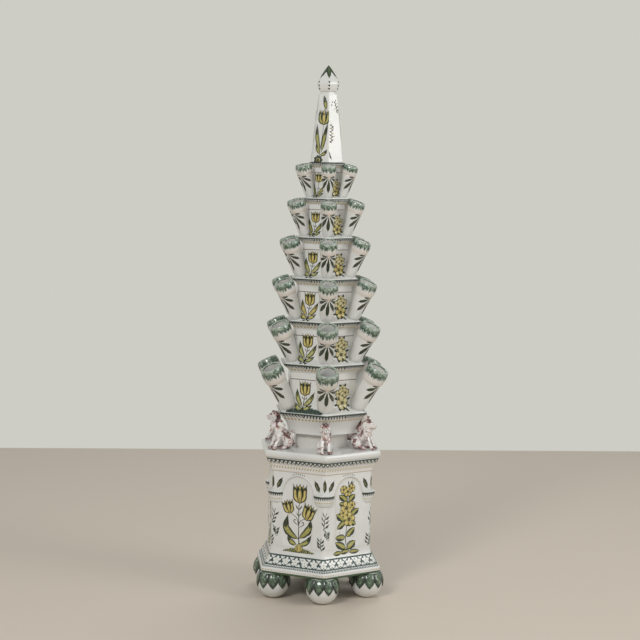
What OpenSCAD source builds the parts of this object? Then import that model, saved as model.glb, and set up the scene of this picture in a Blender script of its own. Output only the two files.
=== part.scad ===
// Six-sided flower pyramid in tin-glazed earthenware, one corner to the front (-Y).
// Nine pieces stack: pedestal, gallery, six spouted reservoirs and an obelisk with a bud.
// Millimetres, +Z up, origin at the floor on the centre line. Radii of six-sided forms are to the corner.

/* [Feet] */
// Radius of a ball foot
ball_r = 31; // [26:0.5:36]
// Height of the ball's centre above the floor, less than its radius so that it stands on a flat
ball_z = 30; // [25:0.5:35]
// Distance of a ball's centre inside the plinth's corner
ball_inset = 28; // [24:1:34]
// Height of the plinth's underside above the floor
foot_h = 50; // [46:1:56]
// Leaves in the cap over a ball
leaf_count = 10; // [6:1:14]
// Thickness of the leaf cap
leaf_t = 2.6; // [1.5:0.1:4]
// Depth of a leaf's tip below the ball's centre
leaf_tip = 10; // [6:0.5:14]
// Height of the notch between leaves above the ball's centre
leaf_notch = 6; // [0:0.5:10]

/* [Plinth] */
// Corner radius of the plinth's rounded band
plinth_r = 130; // [124:1:138]
// Height of the plinth
plinth_h = 50; // [44:1:60]
// Height of the rounded band along the plinth's lower edge
plinth_band_h = 12; // [9:0.5:15]
// Corner radius of the plinth's top
plinth_top_r = 110; // [109:0.5:114]
// Corner radius of the opening through the plinth
plinth_eye_r = 84; // [76:1:88]
// Thickness of the plinth's shell, flange and top
plinth_t = 9; // [7:0.5:11]

/* [Pedestal walls] */
// Height of the walls
wall_h = 143; // [130:1:170]
// Radius to the centres of the corner columns
column_circle_r = 93; // [90:0.5:93.5]
// Radius of a corner column
column_r = 14.5; // [12:0.25:14.5]
// Depth of a panel's face behind the fronts of the corner columns
panel_in = 1.5; // [0.5:0.25:6]
// Thickness of a wall panel
panel_t = 10; // [7:0.5:12]
// Depth of the arched niche in a panel
niche_d = 3; // [1:0.25:4]
// Radius of the niche's round head
arch_r = 31; // [28:0.5:32]
// Width of the arch moulding
arch_w = 3; // [2:0.25:3.5]
// Height of the arch moulding's face above its panel
arch_t = 1.6; // [1:0.1:3]
// Radius of a console's rim
console_r = 20; // [17:0.5:22]
// Height of a console
console_h = 23; // [18:0.5:28]
// Distance of the consoles' tops below the top of the walls
console_drop = 38; // [37:0.5:44]

/* [Cornice] */
// Height of the cornice
cornice_h = 27; // [24:0.5:34]
// Corner radius of the cornice's lower edge
cornice_low_r = 110; // [109.5:0.5:112]
// Corner radius of the cornice's upper edge
cornice_r = 121.5; // [118:0.5:126]
// Corner radius of the opening through the cornice
cornice_eye_r = 84; // [78:1:88]
// Thickness of the cornice's shell
cornice_t = 8; // [6:0.5:9]

/* [Gallery] */
// Corner radius of the gallery's slab
slab_r = 126; // [122:1:132]
// Thickness of the slab
slab_h = 13; // [10:0.5:18]
// Depth of the boss that locates the slab in the cornice
boss_d = 5; // [3:0.5:8]
// Corner radius of the hollow stem
stem_r = 56; // [48:1:58]
// Wall of the stem
stem_wall = 8; // [6:0.5:10]
// Height of the stem
stem_h = 28; // [27:0.5:40]
// Corner radius of the cup's underside
cup_base_r = 72; // [64:1:76]
// Corner radius of the cup's rim
cup_r = 95; // [92:0.5:104]
// Height of the cup
cup_h = 41; // [36:0.5:50]

/* [Lions] */
// Distance of a lion's middle from the centre line
lion_seat_r = 88; // [87:0.5:92]
// Radius of the haunches
haunch_r = 11.5; // [10:0.25:13]
// Distance of the haunches behind the lion's middle
haunch_back = 14; // [12:0.5:16]
// Radius of the chest
chest_r = 9.5; // [8.5:0.25:12.5]
// Height of the chest
chest_z = 30; // [27:0.5:32]
// Radius of the head
head_r = 9.5; // [8:0.25:11]
// Height of the head
head_z = 46; // [42:0.5:48]
// Radius of the muzzle
muzzle_r = 5; // [4:0.25:6.5]
// Distance from head to muzzle
muzzle_out = 9; // [7:0.5:11]
// Radius of a leg
leg_r = 4.2; // [3.5:0.1:5.5]
// Distance of each foreleg from the middle
leg_y = 7.5; // [6:0.25:9]
// Distance of the forepaws in front of the lion's middle
paw_out = 23; // [20:0.5:26]

/* [Tier sizes] */
// Corner radius of the first tier's rim
rim_1_r = 87.5; // [85:0.5:90]
// Corner radius of the second tier's rim
rim_2_r = 78; // [76:0.5:81]
// Corner radius of the third tier's rim
rim_3_r = 71; // [69:0.5:73]
// Corner radius of the fourth tier's rim
rim_4_r = 60; // [58:0.5:63]
// Corner radius of the fifth tier's rim
rim_5_r = 49.5; // [48:0.5:52]
// Corner radius of the sixth tier's rim
rim_6_r = 37.5; // [35:0.5:38]
// Rise from the cup's rim to the first tier's rim
rise_1 = 91; // [86:0.5:98]
// Rise from the first rim to the second
rise_2 = 80; // [76:0.5:88]
// Rise from the second rim to the third
rise_3 = 80; // [76:0.5:88]
// Rise from the third rim to the fourth
rise_4 = 76.5; // [72:0.5:84]
// Rise from the fourth rim to the fifth
rise_5 = 72.5; // [68:0.5:80]
// Rise from the fifth rim to the sixth
rise_6 = 67; // [64:0.5:76]

/* [Tier sections] */
// Wall of a reservoir
tier_wall = 6; // [4.5:0.25:7]
// Floor of a reservoir
tier_floor = 6; // [4:0.5:8]
// Overhang of the lowest tier's rim beyond its wall
rim_out_low = 16; // [12:0.5:18]
// Overhang of the highest tier's rim beyond its wall
rim_out_high = 8; // [6:0.5:9]
// Height of the lowest tier's flared rim
rim_h_low = 17; // [13:0.5:20]
// Height of the highest tier's flared rim
rim_h_high = 10; // [8:0.5:12]
// Height of the upright edge of a rim
rim_edge = 3; // [2:0.25:4]
// Thickness of a rim around the foot that it holds
rim_t = 3.2; // [2.5:0.1:4.5]
// Depth of the seat in a rim
seat_d = 4; // [3:0.25:5]
// Width of the seat in a rim
seat_w = 4.5; // [3:0.25:5]
// Height of the lowest tier's flared foot
base_h_low = 20; // [17:0.5:26]
// Height of the highest tier's flared foot
base_h_high = 13; // [11:0.5:18]
// Height of the upright edge of a foot
base_edge = 5; // [4:0.25:6]

/* [Spouts] */
// Greatest radius of a spout's bulb on the lowest tier
bulb_r_low = 21.5; // [20:0.25:23]
// Greatest radius of a spout's bulb on the highest tier
bulb_r_high = 14; // [13:0.25:15]
// Radius of a spout's bore on the lowest tier
bore_r_low = 14.5; // [12:0.25:15.5]
// Radius of a spout's bore on the highest tier
bore_r_high = 9.25; // [7.5:0.25:9.5]
// Length of the straight bore on the lowest tier
bore_len_low = 36; // [30:0.5:42]
// Length of the straight bore on the highest tier
bore_len_high = 25; // [20:0.5:28]
// Radius of a spout's rounded root on the lowest tier
root_r_low = 15.5; // [13:0.25:16]
// Radius of a spout's rounded root on the highest tier
root_r_high = 8; // [7.5:0.25:9.5]
// Length of the bulb on the lowest tier
bulb_len_low = 30; // [25:0.5:34]
// Length of the bulb on the highest tier
bulb_len_high = 19; // [16:0.5:22]
// Wall of a spout
spout_wall = 3.6; // [3:0.1:4]
// Lean of the lowest tier's spouts from upright, in degrees
lean_low = 30; // [27:0.5:32]
// Lean of the highest tier's spouts from upright, in degrees
lean_high = 16; // [15:0.5:20]
// Distance of a spout's root outside the corner of its reservoir
root_out = 6.6; // [5:0.2:8]
// Height of a root above its tier's foot on the lowest tier
root_z_low = 21; // [18:0.5:24]
// Height of a root above its tier's foot on the highest tier
root_z_high = 12.5; // [11.5:0.5:15]
// Distance of a spout's mouth below its tier's rim
mouth_drop = 4.5; // [2:0.5:7]
// Radius of the feed hole between a spout and its reservoir
feed_r = 3.5; // [2.5:0.25:4]
// Height of the feed hole above the root
feed_up = 5; // [4:0.5:7]

/* [Obelisk and bud] */
// Height of the obelisk
obelisk_h = 131; // [110:1:150]
// Corner radius of the obelisk's top
obelisk_top_r = 19.5; // [17:0.5:22]
// Wall of the obelisk
obelisk_wall = 5.5; // [4:0.25:7]
// Corner radius of the bud's waist
waist_r = 15; // [12:0.5:16.5]
// Height of the bud's waist
waist_h = 4; // [2:0.5:7]
// Greatest corner radius of the bud
bud_r = 22; // [18:0.5:24]
// Height from the waist to the widest part of the bud
bud_low_h = 17; // [12:0.5:22]
// Height from the widest part of the bud to its tip
bud_high_h = 33; // [24:0.5:38]

/* [Fits] */
// Clearance of a foot or boss in the seat that locates it
stack_gap = 0.6; // [0.4:0.05:1]

/* [Hidden] */
sides = 6;
turn = 360 / sides;
tiers = 6;
face_cos = cos(turn / 2);
// Turn of a spout or feed hole about its own axis, which keeps its seam off the corner's edge
seam_turn = turn / 4;
arc_steps = 6;
round_fn = 48;
blob_fn = 16;
slack = 1;
flare_power = 1.8;
rim_power = 1.3;
base_power = 2.2;
bud_power = 1.35;
edge_round = 3;

rim_rs = [cup_r, rim_1_r, rim_2_r, rim_3_r, rim_4_r, rim_5_r, rim_6_r];
rises = [0, rise_1, rise_2, rise_3, rise_4, rise_5, rise_6];

ball_circle_r = plinth_r - ball_inset;
plinth_z = foot_h;
wall_z = plinth_z + plinth_h;
cornice_z = wall_z + wall_h;
slab_z = cornice_z + cornice_h;
stem_z = slab_z + slab_h;
cup_z = stem_z + stem_h;
cup_top_z = cup_z + cup_h;
console_z = cornice_z - console_drop;
panel_face = column_circle_r * face_cos + column_r - panel_in;
neck_step = 1.5;

glaze = [0.90, 0.90, 0.86];
leaf_green = [0.30, 0.42, 0.36];
sponge_green = [0.55, 0.66, 0.62];
manganese = [0.72, 0.66, 0.70];

corners = [1:sides];
each_tier = [1:tiers];

function mix(a, b, t) = a + (b - a) * t;
function up_tiers(low, high, i) = mix(low, high, (i - 1) / (tiers - 1));
function sum_to(list, n) = n < 0 ? 0 : list[n] + sum_to(list, n - 1);
function corner_angle(k) = -90 + turn * (k - 1);
function face_angle(k) = corner_angle(k) - turn / 2;

// Quarter or part of an ellipse about a centre, from one angle to another
function arc(centre, rx, rz, from, to) = [
    for (j = [0:arc_steps])
        let (a = mix(from, to, j / arc_steps))
        [centre[0] + rx * cos(a), centre[1] + rz * sin(a)]
];

// Hollow curve that leaves the wide end sharply and meets the narrow end upright
function flare(wide, narrow, power) = [
    for (j = [0:arc_steps])
        let (t = j / arc_steps)
        [mix(narrow[0], wide[0], pow(1 - t, power)), mix(wide[1], narrow[1], t)]
];

// Swelling curve that rises from a radius to a point on the centre line
function pointed(r, z, h) = [
    for (j = [1:arc_steps])
        let (t = j / arc_steps)
        [r * (1 - pow(t, bud_power)), z + h * t]
];
function reversed(points) = [for (j = [len(points) - 1:-1:0]) points[j]];

function rim_z(i) = cup_top_z + sum_to(rises, i);
function tier_z(i) = rim_z(i - 1) - seat_d;
function tier_h(i) = rises[i] + seat_d;
function base_r(i) = rim_rs[i - 1] - rim_t - stack_gap;
function tier_wall_r(i) = rim_rs[i] - up_tiers(rim_out_low, rim_out_high, i);
function lean(i) = up_tiers(lean_low, lean_high, i);
function root_r(i) = tier_wall_r(i) + root_out;
function root_z(i) = up_tiers(root_z_low, root_z_high, i);
function spout_len(i) = (tier_h(i) - mouth_drop - root_z(i)) / cos(lean(i));

// Outside of a tier from the edge of its foot up to its rim, as corner radius and height
function tier_outside(i) =
    let (
        wall_r = tier_wall_r(i),
        rim_low = tier_h(i) - rim_edge,
        neck_z = tier_h(i) - up_tiers(rim_h_low, rim_h_high, i),
        base_h = up_tiers(base_h_low, base_h_high, i)
    )
    concat(
        [[base_r(i), 0]],
        flare([base_r(i), base_edge], [wall_r, base_h], base_power),
        reversed(flare([rim_rs[i], rim_low], [wall_r, neck_z], rim_power)),
        [[rim_rs[i], tier_h(i)]]
    );

// Six-sided form turned from a profile of corner radii and heights
module six_sided(profile) {
    rotate([0, 0, turn / 2])
        rotate_extrude($fn = sides)
            polygon(profile);
}

module at_corner(k, r, z) {
    rotate([0, 0, corner_angle(k)])
        translate([r, 0, z])
            children();
}

module ball_foot(k) {
    color(glaze)
        at_corner(k, ball_circle_r, ball_z)
            intersection() {
                sphere(r = ball_r, $fn = round_fn);
                translate([0, 0, -ball_z])
                    cylinder(r = ball_r + slack, h = foot_h, $fn = round_fn);
            }
}

// Relief leaves over the upper part of a ball, pointing down
module leaf_cap(k) {
    leaf_turn = 360 / leaf_count;
    outer_r = ball_r + leaf_t;
    half_w = outer_r * sin(leaf_turn / 2);
    slope = half_w / (leaf_notch + leaf_tip);
    below = outer_r + slack;
    color(leaf_green)
        at_corner(k, ball_circle_r, ball_z)
            difference() {
                sphere(r = outer_r, $fn = round_fn);
                sphere(r = ball_r, $fn = round_fn);
                translate([-below, -below, foot_h - ball_z])
                    cube([2 * below, 2 * below, below]);
                for (j = [1:leaf_count])
                    rotate([90, 0, (j + 0.5) * leaf_turn])
                        linear_extrude(height = below)
                            polygon([
                                [0, leaf_notch],
                                [-slope * (leaf_notch + below), -below],
                                [slope * (leaf_notch + below), -below]
                            ]);
            }
}

module plinth() {
    flare_low = plinth_z + plinth_band_h;
    inner_r = plinth_r - plinth_t - edge_round;
    color(glaze)
        six_sided(concat(
            [[plinth_eye_r, plinth_z]],
            arc([plinth_r - edge_round, plinth_z + edge_round], edge_round, edge_round, -90, 0),
            arc([plinth_r - edge_round, flare_low - edge_round], edge_round, edge_round, 0, 90),
            flare([plinth_r - edge_round, flare_low], [plinth_top_r, wall_z - slack], flare_power),
            [
                [plinth_top_r, wall_z],
                [plinth_eye_r, wall_z],
                [plinth_eye_r, wall_z - plinth_t],
                [plinth_top_r - plinth_t - edge_round, wall_z - plinth_t],
                [inner_r, plinth_z + plinth_t + edge_round],
                [inner_r, plinth_z + plinth_t],
                [plinth_eye_r, plinth_z + plinth_t]
            ]
        ));
}

// Engaged column in a corner, with the half-round console that carries two arches
module corner_column(k) {
    rim_low = console_h / 2;
    color(glaze)
        union() {
            at_corner(k, column_circle_r, wall_z)
                cylinder(r = column_r, h = wall_h, $fn = round_fn);
            difference() {
                at_corner(k, column_circle_r, console_z - console_h)
                    rotate_extrude($fn = round_fn)
                        polygon(concat(
                            [[0, 0], [column_r, 0]],
                            arc([column_r, rim_low], console_r - column_r, rim_low, -90, 0),
                            [[console_r, console_h], [0, console_h]]
                        ));
                rotate([0, 0, turn / 2])
                    cylinder(r = panel_face / face_cos, h = slab_z, $fn = sides);
            }
        }
}

module niche_outline() {
    translate([0, console_z])
        circle(r = arch_r, $fn = round_fn);
    translate([-arch_r, wall_z - slack])
        square([2 * arch_r, console_z - wall_z + slack]);
}

module wall_panel(k) {
    color(glaze)
        difference() {
            rotate([0, 0, face_angle(k)])
                difference() {
                    translate([panel_face - panel_t, -column_circle_r / 2, wall_z])
                        cube([panel_t, column_circle_r, wall_h]);
                    translate([panel_face - niche_d, 0, 0])
                        rotate([90, 0, 90])
                            linear_extrude(height = niche_d + slack)
                                niche_outline();
                }
            column_cuts(k);
        }
}

// Raised half ring around the head of a niche, standing on two consoles
module arch_moulding(k) {
    outer_r = arch_r + arch_w;
    color(glaze)
        difference() {
            rotate([0, 0, face_angle(k)])
                translate([panel_face, 0, console_z])
                    rotate([90, 0, 90])
                        linear_extrude(height = arch_t)
                            difference() {
                                circle(r = outer_r, $fn = round_fn);
                                circle(r = arch_r, $fn = round_fn);
                                translate([-2 * outer_r, -4 * outer_r])
                                    square(4 * outer_r);
                            }
            column_cuts(k);
        }
}

// The two corner columns beside a panel, as cutters
module column_cuts(k) {
    for (side = [k - 1, k])
        at_corner(side, column_circle_r, wall_z - slack)
            cylinder(r = column_r, h = wall_h + 2 * slack, $fn = round_fn);
}

module cornice() {
    dots_z = cornice_z + cornice_h / 3;
    teeth_z = cornice_z + cornice_h * 5 / 9;
    dots_r = cornice_low_r + edge_round / 2;
    teeth_r = dots_r + edge_round / 2;
    top_z = slab_z - edge_round / 2;
    color(glaze)
        six_sided(concat(
            [
                [cornice_eye_r, cornice_z],
                [cornice_low_r, cornice_z],
                [cornice_low_r, cornice_z + edge_round],
                [dots_r, dots_z]
            ],
            arc([teeth_r, top_z], cornice_r - teeth_r, top_z - teeth_z, -90, 0),
            [
                [cornice_r, slab_z],
                [cornice_eye_r, slab_z],
                [cornice_eye_r, slab_z - cornice_t],
                [teeth_r - cornice_t, slab_z - cornice_t],
                [dots_r - cornice_t, cornice_z + cornice_t],
                [cornice_eye_r, cornice_z + cornice_t]
            ]
        ));
}

module gallery_slab() {
    nose = slab_h / 2;
    boss_r = cornice_eye_r - stack_gap;
    color(glaze)
        six_sided(concat(
            [[0, slab_z - boss_d], [boss_r, slab_z - boss_d], [boss_r, slab_z]],
            arc([slab_r - edge_round, slab_z + nose], edge_round, nose, -90, 90),
            [[0, slab_z + slab_h]]
        ));
}

module gallery_stem() {
    inner_r = stem_r - stem_wall;
    color(glaze)
        six_sided([[inner_r, stem_z], [stem_r, stem_z], [stem_r, cup_z], [inner_r, cup_z]]);
}

// Flared cup whose rim holds the first tier's foot
module gallery_cup() {
    rim_low = cup_top_z - rim_edge;
    seat_r = cup_r - rim_t;
    seat_z = cup_top_z - seat_d;
    inner_r = cup_base_r - tier_wall;
    color(glaze)
        six_sided(concat(
            [[0, cup_z], [cup_base_r, cup_z]],
            reversed(flare([cup_r, rim_low], [cup_base_r, cup_z + slack], flare_power)),
            [
                [cup_r, cup_top_z],
                [seat_r, cup_top_z],
                [seat_r, seat_z],
                [seat_r - 2 * seat_w, seat_z],
                [inner_r, seat_z - 2 * rim_t - tier_wall],
                [inner_r, cup_z + tier_floor],
                [0, cup_z + tier_floor]
            ]
        ));
}

module blob(place, r) {
    translate(place)
        sphere(r = r, $fn = blob_fn);
}

// Seated lion facing outwards, cut flat where it sits on the slab
module lion(k) {
    thigh_r = haunch_r * 5 / 6;
    hip_y = haunch_r * 3 / 5;
    shoulder_r = leg_r * 6 / 5;
    cheek_r = muzzle_r + slack;
    ear_r = head_r / 3;
    ear_h = head_r * 3 / 5;
    tail_r = leg_r * 3 / 5;
    tail_sweep = 120;
    haunch = [-haunch_back, 0, haunch_r];
    chest = [chest_r - 2 * slack, 0, chest_z];
    head = [chest[0] + head_r * 2 / 3, 0, head_z];
    cheek = head + [head_r / 5, 0, -muzzle_r / 2];
    muzzle = head + [muzzle_out, 0, -muzzle_r * 2 / 3];
    hind_paw_x = thigh_r * 3 / 2 - haunch_back;
    hind_paw_y = hip_y + thigh_r / 3;
    cut = 2 * (haunch_back + haunch_r + paw_out);
    color(manganese)
        at_corner(k, lion_seat_r, stem_z)
            difference() {
                union() {
                    hull() {
                        blob(haunch, haunch_r);
                        blob(chest, chest_r);
                    }
                    hull() {
                        blob(chest, chest_r);
                        blob(head, head_r);
                    }
                    hull() {
                        blob(cheek, cheek_r);
                        blob(muzzle, muzzle_r);
                    }
                    for (side = [-1, 1]) {
                        hull() {
                            blob([chest[0] + leg_r / 2, side * leg_y, chest_z - leg_r], shoulder_r);
                            blob([paw_out, side * leg_y, leg_r - slack], leg_r);
                        }
                        translate([thigh_r / 2 - haunch_back, side * hip_y, thigh_r - slack])
                            sphere(r = thigh_r, $fn = round_fn);
                        translate([hind_paw_x, side * hind_paw_y, leg_r - slack])
                            sphere(r = leg_r, $fn = round_fn);
                        translate([head[0] - head_r / 3, side * ear_h, head_z + ear_h])
                            cylinder(r1 = ear_r, r2 = ear_r / 3, h = ear_h, $fn = round_fn);
                    }
                    translate([-haunch_back, 0, tail_r])
                        rotate([0, 0, 90])
                            rotate_extrude(angle = tail_sweep, $fn = round_fn)
                                translate([haunch_r - tail_r, 0])
                                    circle(r = tail_r, $fn = round_fn);
                }
                translate([-cut, -cut, -cut])
                    cube([2 * cut, 2 * cut, cut]);
            }
}

// Bowl with a floor, its corners drilled to feed the spouts
module tier_reservoir(i) {
    wall_r = tier_wall_r(i);
    inner_r = wall_r - tier_wall;
    top = tier_h(i);
    seat_r = rim_rs[i] - rim_t;
    neck_z = top - up_tiers(rim_h_low, rim_h_high, i);
    color(glaze)
        translate([0, 0, tier_z(i)])
            difference() {
                six_sided(concat(
                    [[0, 0]],
                    tier_outside(i),
                    [
                        [seat_r, top],
                        [seat_r, top - seat_d],
                        [seat_r - seat_w, top - seat_d],
                        [inner_r, neck_z - slack],
                        [inner_r, tier_floor],
                        [0, tier_floor]
                    ]
                ));
                for (k = corners)
                    feed_hole(i, k);
            }
}

// Level hole from a reservoir out to the well of the spout at a corner
module feed_hole(i, k) {
    inside_r = tier_wall_r(i) - 2 * tier_wall;
    at_corner(k, inside_r, root_z(i) + feed_up)
        rotate([0, 90, 0])
            rotate([0, 0, seam_turn])
                cylinder(r = feed_r, h = root_r(i) - inside_r, $fn = round_fn);
}

// One spout about its own axis, root at the origin and mouth up
module spout(i) {
    length = spout_len(i);
    bulb_r = up_tiers(bulb_r_low, bulb_r_high, i);
    bulb_z = length - up_tiers(bulb_len_low, bulb_len_high, i);
    bore_r = up_tiers(bore_r_low, bore_r_high, i);
    bore_z = length - up_tiers(bore_len_low, bore_len_high, i);
    end_r = up_tiers(root_r_low, root_r_high, i);
    well_r = end_r - spout_wall;
    neck_r = bore_r + spout_wall;
    bulb_in = bulb_r - 2 * neck_step;
    bulb_half = (length - bulb_z) / 2;
    bulb_low = -60;
    bulb_high = 75;
    rotate_extrude($fn = round_fn)
        polygon(concat(
            arc([0, 0], end_r, end_r, -90, 0),
            [[neck_r, bulb_z]],
            arc([bulb_in, length - bulb_half], bulb_r - bulb_in, bulb_half, bulb_low, bulb_high),
            [
                [bulb_in, length],
                [bore_r, length],
                [bore_r, bore_z],
                [well_r, slack],
                [0, slack]
            ]
        ));
}

// Six spouts leaning out from a tier's corners, each cut to the outside of its reservoir
module tier_spouts(i) {
    color(sponge_green)
        translate([0, 0, tier_z(i)])
            difference() {
                for (k = corners)
                    at_corner(k, root_r(i), root_z(i))
                        rotate([0, lean(i), 0])
                            rotate([0, 0, seam_turn])
                                spout(i);
                six_sided(concat([[0, 0]], tier_outside(i), [[0, tier_h(i)]]));
                for (k = corners)
                    feed_hole(i, k);
            }
}

module obelisk() {
    low_r = rim_rs[tiers] - rim_t - stack_gap;
    color(glaze)
        translate([0, 0, rim_z(tiers) - seat_d])
            six_sided([
                [low_r - obelisk_wall, 0],
                [low_r, 0],
                [low_r, base_edge],
                [obelisk_top_r, obelisk_h],
                [0, obelisk_h],
                [0, obelisk_h - obelisk_wall],
                [obelisk_top_r - obelisk_wall, obelisk_h - obelisk_wall],
                [low_r - obelisk_wall, base_edge]
            ]);
}

module bud_finial() {
    color(leaf_green)
        translate([0, 0, rim_z(tiers) - seat_d + obelisk_h])
            six_sided(concat(
                [[0, 0], [waist_r, 0]],
                arc([waist_r, waist_h + bud_low_h], bud_r - waist_r, bud_low_h, -90, 0),
                pointed(bud_r, waist_h + bud_low_h, bud_high_h)
            ));
}

for (k = corners) {
    ball_foot(k);
    leaf_cap(k);
    corner_column(k);
    wall_panel(k);
    arch_moulding(k);
    lion(k);
}
plinth();
cornice();
gallery_slab();
gallery_stem();
gallery_cup();
for (i = each_tier) {
    tier_reservoir(i);
    tier_spouts(i);
}
obelisk();
bud_finial();
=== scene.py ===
import bisect
import math
import random

import bmesh
import bpy
from mathutils import Matrix, Vector, noise


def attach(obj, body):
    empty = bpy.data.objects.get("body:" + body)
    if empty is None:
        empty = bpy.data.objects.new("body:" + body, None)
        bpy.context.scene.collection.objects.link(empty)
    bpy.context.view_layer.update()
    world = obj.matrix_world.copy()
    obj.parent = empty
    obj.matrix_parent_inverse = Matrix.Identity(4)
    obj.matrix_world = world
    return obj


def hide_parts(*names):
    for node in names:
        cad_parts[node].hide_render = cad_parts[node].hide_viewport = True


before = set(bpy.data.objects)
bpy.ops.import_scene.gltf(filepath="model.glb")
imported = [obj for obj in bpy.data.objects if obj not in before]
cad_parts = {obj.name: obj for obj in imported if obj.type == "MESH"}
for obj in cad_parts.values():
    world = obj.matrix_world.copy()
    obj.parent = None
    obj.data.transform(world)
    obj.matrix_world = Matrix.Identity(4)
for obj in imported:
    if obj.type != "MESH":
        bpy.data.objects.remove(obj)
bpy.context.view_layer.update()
print("frame loaded:", len(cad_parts), "nodes")

mm = 0.001
tiny = 1e-6
six = range(1, 7)
bothWays = (-1, 1)
cos30 = math.cos(math.radians(30))
tan30 = math.tan(math.radians(30))
noise.seed_set(11)  # the same wander each run


def mix(a, b, t):
    return a + (b - a) * t


def evenly(a, b, count):  # from a to b in equal steps
    return [mix(a, b, j / count) for j in range(count + 1)]


def middles(a, b, count):  # the middle of each of count equal parts
    return [mix(a, b, (j + 0.5) / count) for j in range(count)]


def smooth(low, high, x):
    t = min(1, max(0, (x - low) / (high - low)))
    return t * t * (3 - 2 * t)


def heading(turn):
    return Vector((math.cos(turn), math.sin(turn)))


def cornerTurn(k):
    return math.radians(-90 + 60 * (k - 1))  # corner 1 faces the front, -Y


def faceTurn(k):
    return cornerTurn(k) - math.radians(30)  # face 1 is front left, face 2 front right


# Profiles are lists of (corner radius, height) in mm

def flare(wide, narrow, power, steps=14):
    return [(mix(narrow[0], wide[0], (1 - j / steps) ** power), mix(wide[1], narrow[1], j / steps))
            for j in range(steps + 1)]


def arc(r, z, rx, rz, low, high, steps=9):
    turns = [math.radians(a) for a in evenly(low, high, steps)]
    return [(r + rx * math.cos(a), z + rz * math.sin(a)) for a in turns]


def softened(points, radius, closed=True, sharp=18, most=0.45):
    # Every sharp corner of a profile gets a small round, as glaze leaves it
    out = []
    n = len(points)
    for j, p in enumerate(points):
        if not closed and j in (0, n - 1):
            out.append(p)
            continue
        p, a, b = Vector(p), Vector(points[j - 1]), Vector(points[(j + 1) % n])
        if (p - a).length < tiny or (b - p).length < tiny:
            continue
        if (p - a).angle(b - p) < math.radians(sharp):
            out.append(tuple(p))
            continue
        cut = min(radius, most * (p - a).length, most * (b - p).length)
        p1, p2 = p + (a - p).normalized() * cut, p + (b - p).normalized() * cut
        out += [tuple(p1 * (1 - t) ** 2 + p * 2 * t * (1 - t) + p2 * t * t) for t in evenly(0, 1, 4)]
    return out


# Everything is pressed and thrown by hand, so all surfaces share one slow wander
handMade = {"wander": 0.45, "over": 75.0, "crease": 50.0}


def wander(v):
    d = noise.noise_vector(Vector(v) / handMade["over"]) * handMade["wander"]
    return ((v[0] + d.x) * mm, (v[1] + d.y) * mm, v[2] * mm)


def newPiece(name, form, materials, body, node=None, faceMaterials=None):
    mesh = bpy.data.meshes.new(name)
    mesh.from_pydata([wander(v) for v in form[0]], [], form[1])
    mesh.validate()
    mesh.polygons.foreach_set("use_smooth", [True] * len(mesh.polygons))
    for m in materials:
        mesh.materials.append(m)
    if faceMaterials:
        mesh.polygons.foreach_set("material_index", faceMaterials)
    piece = bpy.data.objects.new(name, mesh)
    bpy.context.scene.collection.objects.link(piece)
    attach(piece, body)
    if node:
        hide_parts(node)
    return piece


def whitePiece(node, form, body, flat=True):
    piece = newPiece(node + "_glazed", form, [whiteTinGlaze], body, node)
    if flat:  # flats stay flat beside their rounded edges
        piece.data.set_sharp_from_angle(angle=math.radians(handMade["crease"]))
        piece.modifiers.new("flat_faces", "WEIGHTED_NORMAL").keep_sharp = True


def mark(piece, name, values):  # a number, or three, for each point of a piece
    if isinstance(values[0], tuple):
        attribute = piece.data.attributes.new(name, "FLOAT_VECTOR", "POINT")
        attribute.data.foreach_set("vector", [c for v in values for c in v])
    else:
        piece.data.attributes.new(name, "FLOAT", "POINT").data.foreach_set("value", values)


# Six-sided forms with rounded corners

hexRing = {"bend": 3, "side": 12, "roundest": 0.4}


def fitted(r, rounding):  # a rounding that the hexagon can hold, and half the straight part of its side
    rounding = min(rounding, hexRing["roundest"] * r)
    return rounding, r / 2 - rounding * tan30


def hexPoint(k, r, rounding, x):
    # A point of the rounded hexagon, x mm along its edge from the middle of face k, and the normal there
    rounding, straight = fitted(r, rounding)
    turn = faceTurn(k)
    if abs(x) <= straight:
        n = heading(turn)
        return n * r * cos30 + Vector((-n.y, n.x)) * x, n
    side = math.copysign(1, x)
    n = heading(turn + side * (abs(x) - straight) / rounding)
    centre = heading(turn + side * math.radians(30)) * (r - rounding / cos30)
    return centre + n * rounding, n


def halfEdge(r, rounding):  # from the middle of a face to the middle of a corner, along the rounded edge
    rounding, straight = fitted(r, rounding)
    return straight + rounding * math.radians(30)


def hexRow(r, rounding):
    rounding, straight = fitted(r, rounding)
    reach, bend = rounding * math.radians(30), hexRing["bend"]
    xs = [-straight - reach * (1 - j / bend) for j in range(bend)]
    xs += evenly(-straight, straight, hexRing["side"]) + [straight + reach * j / bend for j in range(1, bend)]
    return [hexPoint(k, r, rounding, x)[0] for k in six for x in xs]


def hexLoft(profile, rounding, closed=True):
    # Rows of the rounded hexagon up the profile; a radius of 0 closes an end with a fan
    verts, faces, rows = [], [], []
    for r, z in profile:
        row = [Vector((0, 0))] if r < tiny else hexRow(r, rounding)
        rows.append(range(len(verts), len(verts) + len(row)))
        verts += [(p.x, p.y, z) for p in row]
    for low, high in zip(rows, rows[1:] + rows[:1] if closed else rows[1:]):
        n = max(len(low), len(high))
        for j in range(n if n > 1 else 0):
            i = (j + 1) % n
            if len(low) == 1:
                faces.append((low[0], high[i], high[j]))
            elif len(high) == 1:
                faces.append((low[j], low[i], high[0]))
            else:
                faces.append((low[j], low[i], high[i], high[j]))
    return verts, faces


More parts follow.
